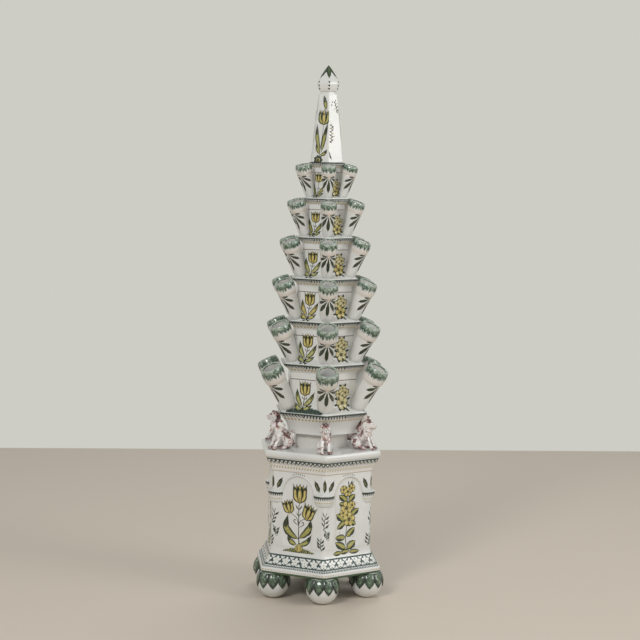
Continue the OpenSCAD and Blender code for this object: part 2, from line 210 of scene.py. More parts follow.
def turned(profile, count, seat, closed=False, low=0, high=360):
    # Surface of revolution about the seat's z, or a part of one with flat ends
    full = high - low >= 360
    rings, n = count if full else count + 1, len(profile)
    turns = [math.radians(a) for a in evenly(low, high, count)][:rings]
    verts = [seat @ Vector((r * math.cos(a), r * math.sin(a), z)) for a in turns for r, z in profile]
    faces = []
    for j in range(count):
        p, q = j * n, (j + 1) % rings * n
        for i in range(n if closed else n - 1):
            h = (i + 1) % n
            here, there = profile[i][0] < tiny, profile[h][0] < tiny
            if not here and not there:
                faces.append((p + i, q + i, q + h, p + h))
            elif not there:
                faces.append((p + i, q + h, p + h))
            elif not here:
                faces.append((p + i, q + i, p + h))
    if not full:
        faces += [tuple(range(n - 1, -1, -1)), tuple(range((rings - 1) * n, rings * n))]
    return verts, faces


def tube(rings, n, first=0):  # the faces of a closed tube of rings with n points each
    faces = []
    for p in range(first, first + (rings - 1) * n, n):
        faces += [(p + i, p + n + i, p + n + (i + 1) % n, p + (i + 1) % n) for i in range(n)]
    last = first + (rings - 1) * n
    return faces + [tuple(first + i for i in range(n)), tuple(last + i for i in range(n - 1, -1, -1))]


def merged(*forms):
    verts, faces = [], []
    for v, f in forms:
        faces += [tuple(i + len(verts) for i in face) for face in f]
        verts += list(v)
    return verts, faces


def atCorner(k, r, z, lean=0):
    return (Matrix.Rotation(cornerTurn(k), 4, "Z") @ Matrix.Translation((r, 0, z))
            @ Matrix.Rotation(math.radians(lean), 4, "Y"))


# Materials

def hexColour(code):
    parts = [int(code[j:j + 2], 16) / 255 for j in (1, 3, 5)]
    return tuple(c / 12.92 if c <= 0.04045 else ((c + 0.055) / 1.055) ** 2.4 for c in parts) + (1,)


def addNode(tree, kind, settings=None, links=None):
    made = tree.nodes.new("ShaderNode" + kind)
    for key, value in (settings or {}).items():
        if key == "stops":  # the places and colours of a ramp
            stops = made.color_ramp.elements
            while len(stops) < len(value):
                stops.new(0.5)
            for stop, (place, colour) in zip(stops, value):
                stop.position, stop.color = place, hexColour(colour)
        elif isinstance(key, int) or key in made.inputs:
            made.inputs[key].default_value = value
        else:
            setattr(made, key, value)
    for key, source in (links or {}).items():  # from a socket, or from a node's first one
        tree.links.new(getattr(source, "outputs", [source])[0], made.inputs[key])
    return made


def newMaterial(name):
    material = bpy.data.materials.new(name)
    material.use_nodes = True
    material.node_tree.nodes.clear()
    return material, material.node_tree


def perMm(size):  # a noise scale that gives features of this size, for coordinates in metres
    return 1000 / size


# Tin glaze fired on earthenware: thick milky glass, so a soft gloss over slow waves, small pits and a few
# grey clouds, and warmer along edges, where it is thin
tinGlaze = {
    "white": "#dddedb", "cloud": "#d2d4cf", "warm": "#dddcd5", "edge": "#cfc6b7", "edgeShare": 0.3,
    "cloudMm": 70, "edgeFrom": 0.53, "edgeTo": 0.62, "waveMm": 9, "pitMm": 1.6, "pitShare": 0.25,
    "roughness": 0.16, "roughest": 0.3, "bump": 0.12, "bumpMm": 0.6, "ior": 1.52, "coat": 0.25,
    "coatRoughness": 0.08,
}


def glazed(tree, colour, gloss=1.0):
    place = addNode(tree, "TexCoord").outputs["Object"]
    wave = addNode(tree, "TexNoise", {"Scale": perMm(tinGlaze["waveMm"]), "Detail": 3.0}, {"Vector": place})
    pits = addNode(tree, "TexNoise", {"Scale": perMm(tinGlaze["pitMm"]), "Detail": 1.0}, {"Vector": place})
    height = addNode(tree, "Math", {"operation": "MULTIPLY_ADD", 1: tinGlaze["pitShare"]}, {0: pits, 2: wave})
    bump = addNode(tree, "Bump", {"Strength": tinGlaze["bump"], "Distance": tinGlaze["bumpMm"] * mm},
                   {"Height": height})
    roughs = {"To Min": tinGlaze["roughness"] * gloss, "To Max": tinGlaze["roughest"] * gloss}
    rough = addNode(tree, "MapRange", roughs, {"Value": wave})
    coat = {"IOR": tinGlaze["ior"], "Coat Weight": tinGlaze["coat"],
            "Coat Roughness": tinGlaze["coatRoughness"]}
    shader = addNode(tree, "BsdfPrincipled", coat, {"Base Color": colour, "Roughness": rough, "Normal": bump})
    addNode(tree, "OutputMaterial", {}, {"Surface": shader})


def clouded(tree):
    place = addNode(tree, "TexCoord").outputs["Object"]
    cloud = addNode(tree, "TexNoise", {"Scale": perMm(tinGlaze["cloudMm"]), "Detail": 4.0, "Roughness": 0.6},
                    {"Vector": place})
    whites = [(0.3, tinGlaze["cloud"]), (0.52, tinGlaze["white"]), (0.75, tinGlaze["warm"])]
    ground = addNode(tree, "ValToRGB", {"stops": whites}, {"Fac": cloud})
    edges = {"From Min": tinGlaze["edgeFrom"], "From Max": tinGlaze["edgeTo"],
             "To Max": tinGlaze["edgeShare"]}
    thin = addNode(tree, "MapRange", edges, {"Value": addNode(tree, "NewGeometry").outputs["Pointiness"]})
    edge = {"data_type": "RGBA", 7: hexColour(tinGlaze["edge"])}
    return addNode(tree, "Mix", edge, {0: thin, 6: ground}).outputs[2]


whiteTinGlaze, tree = newMaterial("white_tin_glaze")
glazed(tree, clouded(tree))

# Oxide colours brushed into the raw glaze: dense at the rim of a stroke, thin and streaky in its middle
paints = {
    "darkLeaf": [(0.0, "#39442c"), (0.6, "#2b3423"), (1.0, "#20271c")],
    "greenLeaf": [(0.0, "#bdb164"), (0.38, "#a09e55"), (0.64, "#626b3f"), (0.82, "#2b3325"),
                  (1.0, "#20271d")],
    "youngLeaf": [(0.0, "#cbc489"), (0.42, "#b1af6c"), (0.68, "#737a4a"), (0.9, "#31382a")],
    "yellowPetal": [(0.0, "#d6c780"), (0.42, "#c6b264"), (0.68, "#8d8650"), (0.88, "#3c3e2c")],
    "paleBlossom": [(0.0, "#ddd6ac"), (0.5, "#d2c58a"), (0.76, "#a09a66"), (0.94, "#545740")],
    "whiteRosette": [(0.0, "#dfe0dc"), (0.7, "#dadcd7"), (0.86, "#5d726e"), (1.0, "#38504f")],
    "blueGreen": [(0.0, "#3b5551"), (0.6, "#2d4442"), (1.0, "#253837")],
    "greyGreen": [(0.0, "#5d6c5f"), (0.7, "#4d5b50"), (1.0, "#435047")],
    "darkLine": [(0.0, "#36443a"), (0.7, "#2c382f"), (1.0, "#262f29")],
    "ochreDot": [(0.0, "#bb9b50"), (0.7, "#c7ab66"), (1.0, "#d3c08c")],
    "brownLine": [(0.0, "#5d4238"), (0.7, "#684c41"), (1.0, "#7d6154")],
    # A pale tan: dashes on the plinth and a wash on the spouts' necks, and also painted shade along the
    # cornice's foot
    "neckWash": [(0.0, "#dac7b6"), (0.6, "#dccfc1"), (1.0, "#dedad1")],
    "footGreen": [(0.0, "#4c6442"), (0.6, "#40573a"), (1.0, "#35482f")],
}
paintGrain = {"streakMm": 2.2, "strength": 0.16, "gloss": 0.9}
paintMaterials = {}
for paintName, stops in paints.items():
    paintMaterials[paintName], tree = newMaterial("oxide_" + paintName)
    across = addNode(tree, "Attribute", {"attribute_name": "across"}).outputs["Fac"]
    grain = addNode(tree, "TexNoise", {"Scale": perMm(paintGrain["streakMm"]), "Detail": 3.0},
                    {"Vector": addNode(tree, "TexCoord").outputs["Object"]})
    worked = addNode(tree, "Math", {"operation": "MULTIPLY_ADD", 1: paintGrain["strength"] * 2},
                     {0: grain, 2: across})
    shifted = addNode(tree, "Math", {"operation": "SUBTRACT", 1: paintGrain["strength"]}, {0: worked})
    glazed(tree, addNode(tree, "ValToRGB", {"stops": stops}, {"Fac": shifted}), paintGrain["gloss"])
print("glazes and", len(paintMaterials), "oxide colours made")

# Copper green sponged round the spouts' mouths: pale on the lip, darkest at its ragged lower edge, with short
# runs, and a warm wash below it
sponge = {"deep": "#324836", "mid": "#5f7564", "pale": "#a9b3a6", "wash": "#dbd2c8", "bandMm": 15.0,
          "softMm": 2.6, "runMm": 5.0, "runStretch": (7.0, 7.0, 0.05), "dabMm": 3.6, "lipTone": 0.2,
          "lowTone": -0.16, "washMm": (17.0, 21.0), "washEndMm": (35.0, 27.0), "washShare": 0.75,
          "gloss": 0.8}
spongedGlaze, tree = newMaterial("sponged_copper_glaze")
place = addNode(tree, "Attribute", {"attribute_name": "spoutPlace"}).outputs["Vector"]
depth = addNode(tree, "SeparateXYZ", {}, {"Vector": place}).outputs["Z"]
stretched = addNode(tree, "VectorMath", {"operation": "MULTIPLY", 1: sponge["runStretch"]}, {0: place})
runs = addNode(tree, "TexNoise", {"Scale": 1.0, "Detail": 2.0}, {"Vector": stretched})
runSpan = {"From Min": 0.3, "From Max": 0.7, "To Min": -sponge["runMm"], "To Max": sponge["runMm"]}
runDepth = addNode(tree, "MapRange", runSpan, {"Value": runs})
ragged = addNode(tree, "Math", {"operation": "ADD"}, {0: depth, 1: runDepth})
bandEdge = {"From Min": sponge["bandMm"] + sponge["softMm"], "From Max": sponge["bandMm"] - sponge["softMm"]}
inBand = addNode(tree, "MapRange", bandEdge, {"Value": ragged})
dabs = addNode(tree, "TexNoise", {"Scale": perMm(sponge["dabMm"]), "Detail": 3.0, "Distortion": 0.6},
               {"Vector": addNode(tree, "TexCoord").outputs["Object"]})
lipSpan = {"From Max": sponge["bandMm"], "To Min": sponge["lipTone"], "To Max": sponge["lowTone"]}
lipFade = addNode(tree, "MapRange", lipSpan, {"Value": depth})
tone = addNode(tree, "Math", {"operation": "ADD"}, {0: dabs, 1: lipFade})
greens = [(0.36, sponge["deep"]), (0.52, sponge["mid"]), (0.7, sponge["pale"])]
green = addNode(tree, "ValToRGB", {"stops": greens}, {"Fac": tone})
washSpan = dict(zip(("From Min", "From Max"), sponge["washMm"]), **{"To Max": sponge["washShare"]})
washLow = addNode(tree, "MapRange", washSpan, {"Value": ragged})
washEnd = dict(zip(("From Min", "From Max"), sponge["washEndMm"]))
washHigh = addNode(tree, "MapRange", washEnd, {"Value": depth})
washed = addNode(tree, "Math", {"operation": "MULTIPLY"}, {0: washLow, 1: washHigh})
warm = {"data_type": "RGBA", 7: hexColour(sponge["wash"])}
ground = addNode(tree, "Mix", warm, {0: washed, 6: clouded(tree)})
colour = addNode(tree, "Mix", {"data_type": "RGBA"}, {0: inBand, 6: ground.outputs[2], 7: green})
glazed(tree, colour.outputs[2], sponge["gloss"])

# Painting: each stroke is a thin closed lens of glaze on its surface

layers = {}
brush = {"body": "pedestal", "proud": 0.14, "edge": -0.02, "root": -0.5, "tip": 0.08, "layer": 0.13,
         "over": 0.26, "lap": 0.4, "spotSides": 9}


def layerFor(paint):
    return layers.setdefault(brush["body"], {}).setdefault(paint, {"verts": [], "faces": [], "across": []})


def alongPath(points, count):  # a smooth curve through the given points
    p = [Vector(q) for q in points]
    if len(p) == 2:
        return [p[0].lerp(p[1], t) for t in evenly(0, 1, count - 1)]
    p = [p[0] * 2 - p[1]] + p + [p[-1] * 2 - p[-2]]
    spans = len(points) - 1
    out = []
    for t in evenly(0, spans, count - 1):
        i = min(int(t), spans - 1)
        t -= i
        a, b, c, d = p[i:i + 4]
        bend, twist = 2 * a - 5 * b + 4 * c - d, 3 * b - a - 3 * c + d
        out.append(0.5 * (2 * b + (c - a) * t + bend * t * t + twist * t ** 3))
    return out


def stroke(canvas, paint, points, widths, lift=0.0, cols=3, count=None):
    # A brush stroke through points, with half widths given along it
    count = count or max(5, 4 * len(points))
    path = alongPath(points, count)
    store = layerFor(paint)
    first, spread = len(store["verts"]), evenly(-1, 1, cols - 1)
    for j, c in enumerate(path):
        ahead = path[min(j + 1, count - 1)] - path[max(j - 1, 0)]
        side = Vector((-ahead.y, ahead.x)).normalized() if ahead.length > tiny else Vector((1, 0))
        t = j / (count - 1) * (len(widths) - 1)
        i = min(int(t), len(widths) - 2)
        w = max(brush["tip"], mix(widths[i], widths[i + 1], smooth(0, 1, t - i)))
        for s in spread:
            at = c + side * s * w
            store["verts"].append(canvas(at.x, at.y, lift + mix(brush["proud"], brush["edge"], s ** 4)))
        store["verts"].append(canvas(c.x, c.y, brush["root"]))
        store["across"] += [abs(s) for s in spread] + [1.0]
    store["faces"] += tube(count, cols + 1, first)


def spot(canvas, paint, x, y, rx, ry=None, lift=0.0):
    store = layerFor(paint)
    first, n = len(store["verts"]), brush["spotSides"]
    store["verts"] += [canvas(x, y, lift + brush["proud"]), canvas(x, y, brush["root"])]
    store["across"] += [0.0] + [1.0] * (n + 1)
    for j in range(n):
        a = 2 * math.pi * j / n
        rim = x + rx * math.cos(a), y + (ry or rx) * math.sin(a)
        store["verts"].append(canvas(*rim, lift + brush["edge"]))
        p, q = first + 2 + j, first + 2 + (j + 1) % n
        store["faces"] += [(p, q, first), (q, p, first + 1)]


# Canvases turn a place on a surface, in mm, into a point in space

def measured(profile):  # running length along an outside profile
    lengths = [0.0]
    for a, b in zip(profile, profile[1:]):
        lengths.append(lengths[-1] + math.hypot(b[0] - a[0], b[1] - a[1]))
    return lengths


def alongProfile(profile, lengths, y):  # radius and height at a running length, and the normal there
    y = min(max(y, 0), lengths[-1] - tiny)
    j = min(bisect.bisect_right(lengths, y), len(profile) - 1) - 1
    t = (y - lengths[j]) / max(1e-9, lengths[j + 1] - lengths[j])
    a, b = profile[j], profile[j + 1]
    d = Vector((b[0] - a[0], b[1] - a[1])).normalized()
    return mix(a[0], b[0], t), mix(a[1], b[1], t), d.y, -d.x


def lengthAt(profile, lengths, z):  # running length at a height on the outside, from below
    if z <= profile[0][1]:
        return 0.0
    for j in range(len(profile) - 1):
        low, high = profile[j][1], profile[j + 1][1]
        if low <= z <= high and high > low:
            return mix(lengths[j], lengths[j + 1], (z - low) / (high - low))
    return lengths[-1]


def hexCanvas(profile, rounding, k):
    lengths = measured(profile)

    def canvas(x, y, lift):
        r, z, nr, nz = alongProfile(profile, lengths, y)
        limit = halfEdge(r, rounding) + brush["lap"]
        p, n = hexPoint(k, r, rounding, min(limit, max(-limit, x)))
        p = p + n * lift * nr
        return (p.x, p.y, z + lift * nz)
    return canvas


def cornerCanvas(profile, rounding, k):  # x runs both ways from the middle of corner k
    lengths = measured(profile)
    before, after = hexCanvas(profile, rounding, k), hexCanvas(profile, rounding, k + 1)

    def canvas(x, y, lift):
        half = halfEdge(alongProfile(profile, lengths, y)[0], rounding)
        return after(x - half, y, lift) if x > 0 else before(x + half, y, lift)
    return canvas


def byHeight(profile, canvas):  # the same canvas, with heights above the floor in place of lengths
    lengths = measured(profile)
    return lambda x, z, lift: canvas(x, lengthAt(profile, lengths, z), lift)


def turnedCanvas(profile, seat):
    lengths = measured(profile)

    def canvas(x, y, lift):  # x is a distance round the surface
        r, z, nr, nz = alongProfile(profile, lengths, y)
        a = x / r
        r = r + lift * nr
        return tuple(seat @ Vector((r * math.cos(a), r * math.sin(a), z + lift * nz)))
    return canvas


def flatCanvas(k):  # lift is the distance from the axis
    n = heading(faceTurn(k))
    t = Vector((-n.y, n.x))

    def canvas(x, y, lift):
        p = n * lift + t * x
        return (p.x, p.y, y)
    return canvas


def moved(canvas, x0, y0, size=1.0, turn=0.0):  # a canvas inside another, about a flower's own base
    c, s = math.cos(math.radians(turn)), math.sin(math.radians(turn))

    def inner(x, y, lift):
        x, y = x * size, y * size
        return canvas(x0 + c * x - s * y, y0 + s * x + c * y, lift)
    return inner


def edgeLine(profile, rounding, paint, y, width, lift=0.0, cols=3):
    # One unbroken painted line round a six-sided form
    r = alongProfile(profile, measured(profile), y)[0]
    straight = fitted(r, rounding)[1]
    bend = evenly(straight, halfEdge(r, rounding) + brush["lap"], 5)[1:]
    xs = [-x for x in reversed(bend)] + evenly(-straight, straight, 14) + bend
    for k in six:
        canvas = hexCanvas(profile, rounding, k)
        stroke(canvas, paint, [(x, y) for x in xs], [width, width], lift, cols, len(xs))


def edgeRow(profile, rounding, y, pitch, draw):
    # The same small mark repeated round a six-sided form, corners included
    half = halfEdge(alongProfile(profile, measured(profile), y)[0], rounding)
    count = max(3, round(2 * half / pitch))
    for k in six:
        canvas = cornerCanvas(profile, rounding, k)
        for x in middles(-half, half, count):
            draw(canvas, x, 2 * half / count)


def tick(paint, y, a, b, widths, lift=0.0, count=5):  # one short stroke of such a row
    return lambda canvas, x, pitch: stroke(canvas, paint, [(x + a[0], y + a[1]), (x + b[0], y + b[1])],
                                           widths, lift, 3, count)


# Flowers, all drawn from the base up in mm

def outlined(canvas, paint, points, widths, lift, edge, count, cols=7):
    # A stroke of colour over a wider dark one, which leaves a dark line round it
    first, last = Vector(points[0]), Vector(points[-1])
    start = first + (first - Vector(points[1])).normalized() * edge
    end = last + (last - Vector(points[-2])).normalized() * edge
    wider = [w + edge * (0.35 if j in (0, len(widths) - 1) else 1) for j, w in enumerate(widths)]
    stroke(canvas, "darkLine", [start] + list(points[1:-1]) + [end], wider, lift, 5, count)
    stroke(canvas, paint, points, widths, lift + brush["layer"], cols, count)


def ray(turn, *reaches):  # points this far from the middle of a flower
    c, s = math.cos(turn), math.sin(turn)
    return [(reach * c, reach * s) for reach in reaches]


def leaf(canvas, points, width, dark=0.5, paint="greenLeaf"):
    # Yellow along its middle, green at its sides and dark towards its tip
    outlined(canvas, paint, points, [0.3, 0.75 * width, width, 0.75 * width, 0.1], 0.0, 0.1 * width + 0.3, 17)
    path = alongPath(points, 13)
    stroke(canvas, "darkLeaf", path[7:], [0.1, dark * width, 0.9 * dark * width, 0.1], brush["over"], count=9)
    stroke(canvas, "darkLine", path[1:8], [0.06 * width, 0.05 * width, 0.03 * width], brush["over"], count=9)


def ovalLeaf(canvas, base, tip, width):
    # A short round leaf, pale in the middle and dark along its lower side
    a, b = Vector(base), Vector(tip)
    side = Vector((a.y - b.y, b.x - a.x)).normalized() * width
    if side.y > 0:
        side = -side
    widths = [0.3 * width, 0.95 * width, width, 0.7 * width, 0.15]
    outlined(canvas, "greenLeaf", [a, a.lerp(b, 0.5), b], widths, 0.0, 0.6, 15)
    shade = [a.lerp(b, t) + s * side for t, s in ((0.25, 0.5), (0.6, 0.6), (0.95, 0.1))]
    stroke(canvas, "darkLeaf", shade, [0.1, 0.48 * width, 0.42 * width, 0.1], brush["over"], count=9)
    stroke(canvas, "darkLine", [a, a.lerp(b, 0.75)], [0.25, 0.15], brush["over"], count=6)


def tulip(canvas, h, spread, side="yellowPetal"):
    # A goblet of five pointed petals in three layers, dark between the tips
    def at(*pairs):
        return [(x * h, y * h) for x, y in pairs]

    def petal(paint, points, widths, lift, count=15):
        outlined(canvas, paint, points, [w * h for w in widths] + [0.1], lift, 0.026 * h + 0.2, count)

    def shade(paint, points, start, wide, lift):
        stroke(canvas, paint, points, [start, wide * h, 0.1], lift, count=7)
    for way in bothWays:
        inner = at((way * 0.05, 0.25), (way * 0.16, 0.62), (way * 0.2, 0.97))
        petal("yellowPetal", inner, (0.05, 0.09, 0.08), 0.0, 13)
        shade("darkLeaf", at((way * 0.14, 0.55), (way * 0.17, 0.88)), 0.3, 0.075, 0.28)
    for way in bothWays:
        outer = at((way * 0.05, 0.05), (way * 0.25, 0.24), (way * 0.3, 0.6), (way * spread, 0.97))
        petal(side, outer, (0.08, 0.12, 0.1), 0.3)
        shade("darkLeaf", at((way * 0.31, 0.6), (way * 0.37, 0.9)), 0.1, 0.06, 0.58)
        shade("darkLine", at((way * 0.22, 0.3), (way * 0.26, 0.6)), 0.2, 0.013, 0.58)
    petal("yellowPetal", at((0, 0), (0, 0.4), (0, 0.75), (0, 1)), (0.09, 0.15, 0.12), 0.6)
    for x in (-0.05, 0.055):
        shade("darkLeaf", at((x, 0.58), (x, 0.86)), 0.1, 0.045, 0.88)
    stroke(canvas, "darkLine", at((0, 0.06), (0, 0.4)), [0.02 * h, 0.1], 0.88, count=6)


def blossom(canvas, r, turn, paint="paleBlossom"):
    # Five round petals with a crease each, about a green and brown eye
    for j in range(5):
        petal = ray(math.radians(turn + 360 * j / 5), 0.15 * r, 0.6 * r, r)
        widths = [0.14 * r, 0.45 * r, 0.58 * r, 0.42 * r]
        outlined(canvas, paint, petal, widths, 0.12 * (j % 2), 0.06 * r + 0.2, 11, 5)
        stroke(canvas, "darkLine", petal[:2], [0.06 * r, 0.02 * r], 0.4, count=5)
    spot(canvas, "greenLeaf", 0, 0, 0.27 * r, lift=0.42)
    spot(canvas, "brownLine", 0, 0, 0.13 * r, lift=0.54)


def stem(canvas, points, width):
    stroke(canvas, "darkLine", points, [width, 0.85 * width, 0.7 * width], count=5 * len(points))


def sprig(canvas, h, seed, curl=False):
    # A loose spray of small brushed leaves, for a corner
    local = random.Random(seed)

    def sway(y):
        return 1.7 * math.sin(3.4 * y / h + seed)
    stroke(canvas, "darkLeaf", [(sway(h * j / 5), h * j / 5) for j in range(6)], [0.7, 0.8, 0.5], count=18)
    for j in six:
        y, side, long = h * j / 7, 1 if j % 2 else -1, local.uniform(7.5, 11.0)
        x = sway(y)
        points = [(x, y), (x + side * 0.5 * long, y + 0.4 * long), (x + side * 0.8 * long, y + 0.95 * long)]
        paint = "darkLeaf" if j % 3 else "greyGreen"
        stroke(canvas, paint, points, [0.4, local.uniform(1.9, 2.6), 0.15], count=8)
    stroke(canvas, "darkLeaf", [(sway(h), h - 1), (sway(h) + 0.6, h + 5)], [0.3, 1.1, 0.1], count=7)
    spot(canvas, "ochreDot", sway(0.6 * h) + 4.6, 0.62 * h, 1.0)
    if curl:
        tendril = [(sway(0), 1), (4, -1.5), (6.5, 1.5), (4, 4), (2.4, 2)]
        stroke(canvas, "greyGreen", tendril, [0.4, 0.6, 0.5, 0.3], count=14)


def mound(canvas, half, h):
    # Hatched ground that the flowers grow from
    local = random.Random(round(half * 7 + h))
    for j, x in enumerate(middles(-half, half, 60)):
        tall = h * (1 - (abs(x) / half) ** 2) + 0.8
        points = [(x, 0), (x + local.uniform(-1, 1), 0.6 * tall), (x + local.uniform(-3, 3), tall + 0.8)]
        paint = ("darkLeaf", "footGreen", "greenLeaf", "footGreen")[j % 4]
        stroke(canvas, paint, points, [1.4, 1.1, 0.1], 0.03 * ((j + 1) % 4), count=6)
    stroke(canvas, "darkLeaf", [(-half, 0), (0, 0.4), (half, 0)], [0.3, 1.3, 0.3], 0.05, count=16)


def bulb(canvas, wide, h):
    for j, x in enumerate((-1, 1, -0.5, 0.5, 0)):
        scale = [(0.15 * x * wide, 0), (0.36 * x * wide, 0.42 * h), (0.1 * x * wide, h)]
        widths = [0.07 * wide, 0.15 * wide, 0.03 * wide]
        outlined(canvas, "yellowPetal", scale, widths, 0.14 * j, 0.03 * wide + 0.1, 11)


# Ball feet with leaf caps

ballFoot = {"r": 31.0, "z": 30.0, "circle": 102.0, "top": 50.0, "sides": 56, "leaves": 10, "rows": 18,
            "cols": 13, "leafThick": 2.3, "leafEdge": 0.75, "leafRoot": -0.6, "topTurn": -3.4,
            "tipTurn": -16.0}

# Copper green glaze over relief: pale on the veins, where it runs thin, and nearly black where it gathers
leafGlaze = {"vein": "#b4bfb0", "mid": "#5f735c", "deep": "#38493a", "edge": "#1e2620", "mottleMm": 5.0,
             "mottle": 0.9, "gloss": 0.8}
leafGreenGlaze, tree = newMaterial("copper_green_glaze")
place = addNode(tree, "Attribute", {"attribute_name": "leafPlace"}).outputs["Vector"]
mottle = addNode(tree, "TexNoise", {"Scale": perMm(leafGlaze["mottleMm"]), "Detail": 4.0, "Distortion": 0.8},
                 {"Vector": addNode(tree, "TexCoord").outputs["Object"]})
tone = addNode(tree, "Math", {"operation": "MULTIPLY_ADD", 1: leafGlaze["mottle"]},
               {0: mottle, 2: addNode(tree, "SeparateXYZ", {}, {"Vector": place}).outputs["X"]})
greens = [(0.42, leafGlaze["vein"]), (0.58, leafGlaze["mid"]), (0.82, leafGlaze["deep"]),
          (0.98, leafGlaze["edge"])]
glazed(tree, addNode(tree, "ValToRGB", {"stops": greens}, {"Fac": tone}), leafGlaze["gloss"])


def ballTurn(z):  # degrees above the ball's middle
    return math.degrees(math.asin((z - ballFoot["z"]) / ballFoot["r"]))


def leafShell(j):
    # One relief leaf on the ball, broad at the top and pointed below, with a channel down its middle
    rows, cols, step = ballFoot["rows"], ballFoot["cols"], 360 / ballFoot["leaves"]
    top = ballTurn(ballFoot["top"]) + ballFoot["topTurn"]
    verts, marks, faces = [], [], []
    for outer in (True, False):
        for t in evenly(0, 1, rows - 1):
            half = 0.54 * step * (1 - max(0, (t - 0.42) / 0.58) ** 1.7) + 0.15
            lat = math.radians(mix(top, ballFoot["tipTurn"], t))
            for s in evenly(-1, 1, cols - 1):
                lon = math.radians((j + 0.5) * step + s * half)
                swell = (1 - s * s) ** 0.5 * (1 - 0.45 * t ** 3)
                channel = 0.55 * math.exp(-(s / 0.1) ** 2) * (1 - t)
                thick = mix(ballFoot["leafEdge"], ballFoot["leafThick"], swell) - channel
                r = ballFoot["r"] + (thick if outer else ballFoot["leafRoot"])
                flat = r * math.cos(lat)
                z = ballFoot["z"] + r * math.sin(lat)
                verts.append(Vector((flat * math.cos(lon), flat * math.sin(lon), z)))
                rib = 0.5 + 0.5 * math.cos(abs(s) * 9 + t * 14)
                marks.append((0.12 + 0.42 * abs(s) ** 1.6 + 0.3 * max(0, t - 0.66) / 0.34 + 0.1 * rib, t, 0))
    n = rows * cols
    for i in range(rows - 1):
        for a in range(i * cols, i * cols + cols - 1):
            faces += [(a, a + cols, a + cols + 1, a + 1), (n + a, n + a + 1, n + a + cols + 1, n + a + cols)]
    rim = list(range(cols)) + list(range(2 * cols - 1, n, cols))
    rim += list(range(n - 2, n - cols - 1, -1)) + list(range(n - 2 * cols, 0, -cols))
    faces += [(a, b, n + b, n + a) for a, b in zip(rim, rim[1:] + rim[:1])]
    return verts, faces, marks


ball = arc(0, ballFoot["z"], ballFoot["r"], ballFoot["r"], ballTurn(0), ballTurn(ballFoot["top"]), 26)
shells = [leafShell(j) for j in range(ballFoot["leaves"])]
capVerts, capFaces = merged(*[shell[:2] for shell in shells])
for k in six:
    seat = atCorner(k, ballFoot["circle"], 0)
    form = turned([(0, 0)] + ball + [(0, ballFoot["top"])], ballFoot["sides"], seat)
    whitePiece(f"ball_foot_{k}", form, "pedestal", flat=False)
    form = [seat @ v for v in capVerts], capFaces
    cap = newPiece(f"leaf_cap_{k}_glazed", form, [leafGreenGlaze], "pedestal",
                   f"leaf_cap_{k}")
    mark(cap, "leafPlace", [m for shell in shells for m in shell[2]])
print("feet made")

# Plinth

plinth = {"z": 50.0, "top": 100.0, "r": 130.0, "topR": 108.2, "band": 12.0, "eye": 84.0, "wall": 9.0,
          "edge": 3.0, "corner": 8.0, "dashes": 57.0, "fringe": 62.6, "latticeLow": 66.5,
          "latticeHigh": 84.0, "rosettes": 6, "rosetteR": 8.4}
edge, corner, eye, thick = (plinth[n] for n in ("edge", "corner", "eye", "wall"))
low, top, bandTop = plinth["z"], plinth["top"], plinth["z"] + plinth["band"]
inner = plinth["r"] - thick - edge
plinthOutside = arc(plinth["r"] - edge, low + edge, edge, edge, -90, 0)
plinthOutside += arc(plinth["r"] - edge, bandTop - edge, edge, edge, 0, 90)
plinthOutside += flare((plinth["r"] - edge - 0.4, bandTop), (plinth["topR"], top), 1.8, 20)
plinthInside = [(eye, top), (eye, top - thick), (plinth["topR"] - thick - edge, top - thick),
                (inner, low + thick + edge), (inner, low + thick), (eye, low + thick), (eye, low)]
whitePiece("plinth", hexLoft(softened(plinthOutside + plinthInside, 1.0), corner), "pedestal")

lengths = measured(plinthOutside)
dashes, fringe, latticeLow, latticeHigh = (lengthAt(plinthOutside, lengths, plinth[n])
                                           for n in ("dashes", "fringe", "latticeLow", "latticeHigh"))
middle = (latticeLow + latticeHigh) / 2
tall = (latticeHigh - latticeLow) / 2


def plinthDash(canvas, x, pitch):
    paint = "neckWash" if round(x) % 3 else "ochreDot"
    tick(paint, dashes, (-1.9, -0.4), (1.9, 0.5), [0.5, 1.0, 0.5])(canvas, x, pitch)


def latticeCell(canvas, x, pitch):
    # Crossed bars with a dark knot between two white rosettes
    knot, r = x + pitch / 2, plinth["rosetteR"]
    for side in bothWays:
        bar = [(knot + q * 0.42 * pitch, middle + q * side * tall) for q in (-1, 0, 1)]
        stroke(canvas, "blueGreen", bar, [2.0, 1.5, 2.3, 1.5, 2.0], cols=5, count=13)
        y = middle + 0.93 * side * tall
        stroke(canvas, "blueGreen", [(knot - 3.4, y), (knot + 3.4, y)], [0.4, 1.5, 0.4], count=7)
    spot(canvas, "darkLine", knot, middle, 2.0, 2.6, 0.1)
    rosette = moved(canvas, x, middle)
    for j in range(5):
        petal = ray(math.radians(90 + 72 * j), 0.1 * r, 0.55 * r, r)
        widths = [0.12 * r, 0.38 * r, 0.44 * r, 0.16 * r]
        stroke(rosette, "whiteRosette", petal, widths, 0.16 + 0.05 * (j % 2), 7, 9)
    spot(rosette, "ochreDot", 0, 0, 1.2, lift=0.32)


edgeLine(plinthOutside, corner, "footGreen", 3.0, 3.3, cols=9)
edgeRow(plinthOutside, corner, dashes, 6.0, plinthDash)
blade = tick("blueGreen", fringe, (-0.5, -2.4), (0.6, 2.8), [0.6, 1.3, 0.9])
edgeRow(plinthOutside, corner, fringe, 3.5, blade)
for y in (latticeLow, latticeHigh):
    edgeLine(plinthOutside, corner, "blueGreen", y, 1.3, 0.1)
half = halfEdge(alongProfile(plinthOutside, lengths, middle)[0], corner)
pitch = 2 * half / plinth["rosettes"]
for k in six:
    for j in range(plinth["rosettes"]):
        x = 2 * half * (j / plinth["rosettes"] - 0.5) + pitch
        latticeCell(cornerCanvas(plinthOutside, corner, k), x, pitch)
print("plinth made")

